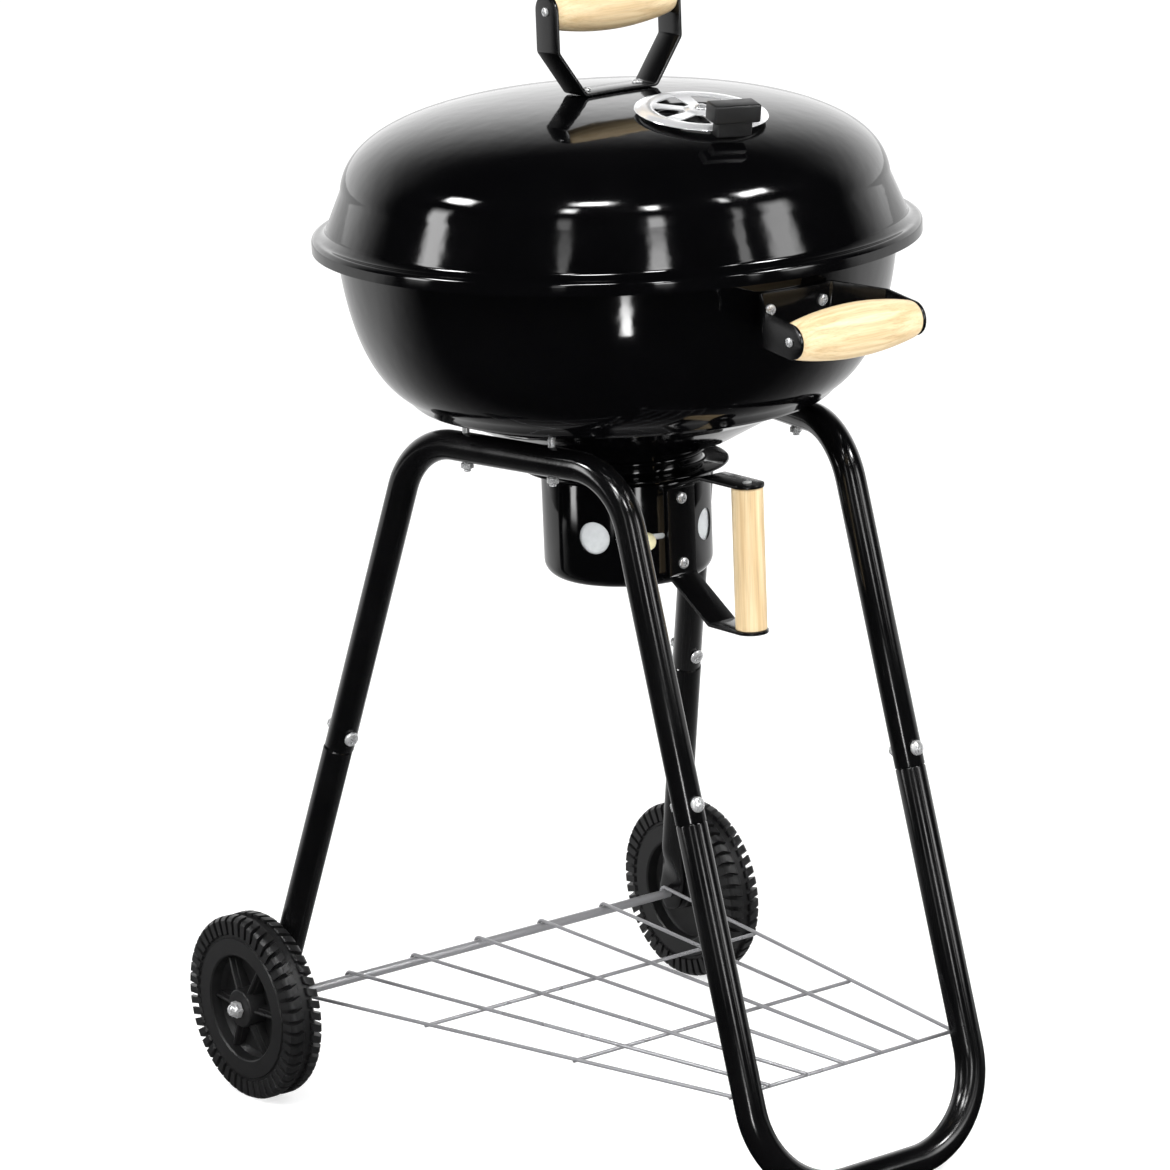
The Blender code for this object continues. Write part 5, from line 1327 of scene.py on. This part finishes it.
pick = add_node(tree, "ShaderNodeMixShader", _0=path_kind.outputs["Is Glossy Ray"],
                _1=plain_light.outputs["Background"], _2=studio_light.outputs["Background"])
add_node(tree, "ShaderNodeOutputWorld", Surface=pick.outputs["Shader"])
print("world ready")

# %% [markdown]
# ## Softboxes
# Gloss black has hardly a tone of its own, and what is seen of it is the lamps. Tall narrow strips beside the
# camera draw the upright stripes on the lid, smaller lamps above them the glints on its shoulder, and one low
# box the soft streak on the bowl. A real softbox is brightest in its middle, so each lamp here fades out
# towards its edges.

# %% Softboxes
LOOK_AT = Vector((0, 0, 0.78))
LAMP_DISTANCE = 2.2
STRIP_Z, STRIP_TALL = 1.05, 1.30
LAMP_TALL = 0.55


def softbox(name, turn, distance, z, width, tall, radiance, soft):
    """A diffused area light. turn is its angle to the right of the camera's side, in degrees. soft is the
    share of its half width and half height over which it fades."""
    a = math.radians(turn)
    spot = (rightward * math.sin(a) - ahead * math.cos(a)) * distance + Vector((0, 0, z))
    lamp = bpy.data.lights.new(name, "AREA")
    lamp.shape = "RECTANGLE"
    lamp.size, lamp.size_y = width, tall
    lamp.energy = math.pi * width * tall
    lamp.use_nodes = True
    cloth = lamp.node_tree
    place = add_node(cloth, "ShaderNodeNewGeometry").outputs["Parametric"]
    across = add_node(cloth, "ShaderNodeSeparateXYZ", Vector=place)
    level = radiance
    for axis, fade in zip("XY", soft):
        off = add_node(cloth, "ShaderNodeMath", {"operation": "SUBTRACT"}, _0=across.outputs[axis], _1=0.5)
        side = add_node(cloth, "ShaderNodeMath", {"operation": "ABSOLUTE"}, _0=off.outputs["Value"])
        edge = add_node(cloth, "ShaderNodeMapRange", {"interpolation_type": "SMOOTHSTEP"},
                        Value=side.outputs["Value"], From_Min=0.5 * (1 - fade), From_Max=0.5, To_Min=1.0,
                        To_Max=0.0)
        level = add_node(cloth, "ShaderNodeMath", {"operation": "MULTIPLY"}, _0=edge.outputs["Result"],
                         _1=level).outputs["Value"]
    cloth.links.new(level, cloth.nodes["Emission"].inputs["Strength"])
    made = bpy.data.objects.new(name, lamp)
    bpy.context.scene.collection.objects.link(made)
    made.matrix_world = facing(spot, spot - LOOK_AT)
    made.visible_camera = False
    made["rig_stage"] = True


for name, turn, width, radiance in (
        ("far_left", -76, 0.50, 9), ("left", -21, 0.24, 2.6), ("right", 15, 0.34, 9),
        ("half_right", 48, 0.20, 3.5), ("far_right", 66, 0.66, 6.0)):
    softbox("strip_" + name, turn, LAMP_DISTANCE, STRIP_Z, width, STRIP_TALL, radiance, (0.6, 0.7))
for name, turn, z, width, radiance in (
        ("far_left", -76, 2.35, 0.75, 60), ("middle", -12, 3.2, 0.95, 60), ("near_left", -21, 2.3, 0.30, 30),
        ("right", 15, 2.35, 0.36, 45), ("half_right", 48, 2.3, 0.20, 20), ("far_right", 66, 2.5, 0.75, 60)):
    softbox("lamp_" + name, turn, LAMP_DISTANCE, z, width, LAMP_TALL, radiance, (0.7, 0.9))
softbox("low_front", turn=2, distance=1.3, z=0.02, width=0.14, tall=0.80, radiance=26, soft=(0.7, 0.9))

# %% [markdown]
# ## The camera
# A long lens from slightly above, turned a little on its own axis, gives the calm, nearly parallel lines of a
# catalogue picture.

# %% Camera
lens = bpy.data.cameras.new("catalogue camera")
lens.sensor_width = 36.0
lens.lens = 169.27
camera = bpy.data.objects.new("catalogue camera", lens)
bpy.context.scene.collection.objects.link(camera)
PITCH, ROLL = math.radians(-14.18), math.radians(-2.226)
CAMERA_SPOT = (-2.7029, -3.5165, 1.5704)
forward = Vector((math.sin(VIEW_YAW) * math.cos(PITCH), math.cos(VIEW_YAW) * math.cos(PITCH), math.sin(PITCH)))
level = rightward.cross(forward)
right = rightward * math.cos(ROLL) + level * math.sin(ROLL)
above = level * math.cos(ROLL) - rightward * math.sin(ROLL)
turn = Matrix((right, above, -forward)).transposed().to_4x4()
camera.matrix_world = Matrix.Translation(CAMERA_SPOT) @ turn
lens.clip_start, lens.clip_end = 0.1, 100
bpy.context.scene.camera = camera
bpy.context.scene.view_settings.view_transform = "Standard"

# %% [markdown]
# ## Last measurements
# The finished pieces' box is measured and printed. Each CAD node's size was printed when its piece was handed
# over.

# %% Print the finished box
low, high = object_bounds()
print("visual box:", [round(side, 4) for side in high - low])
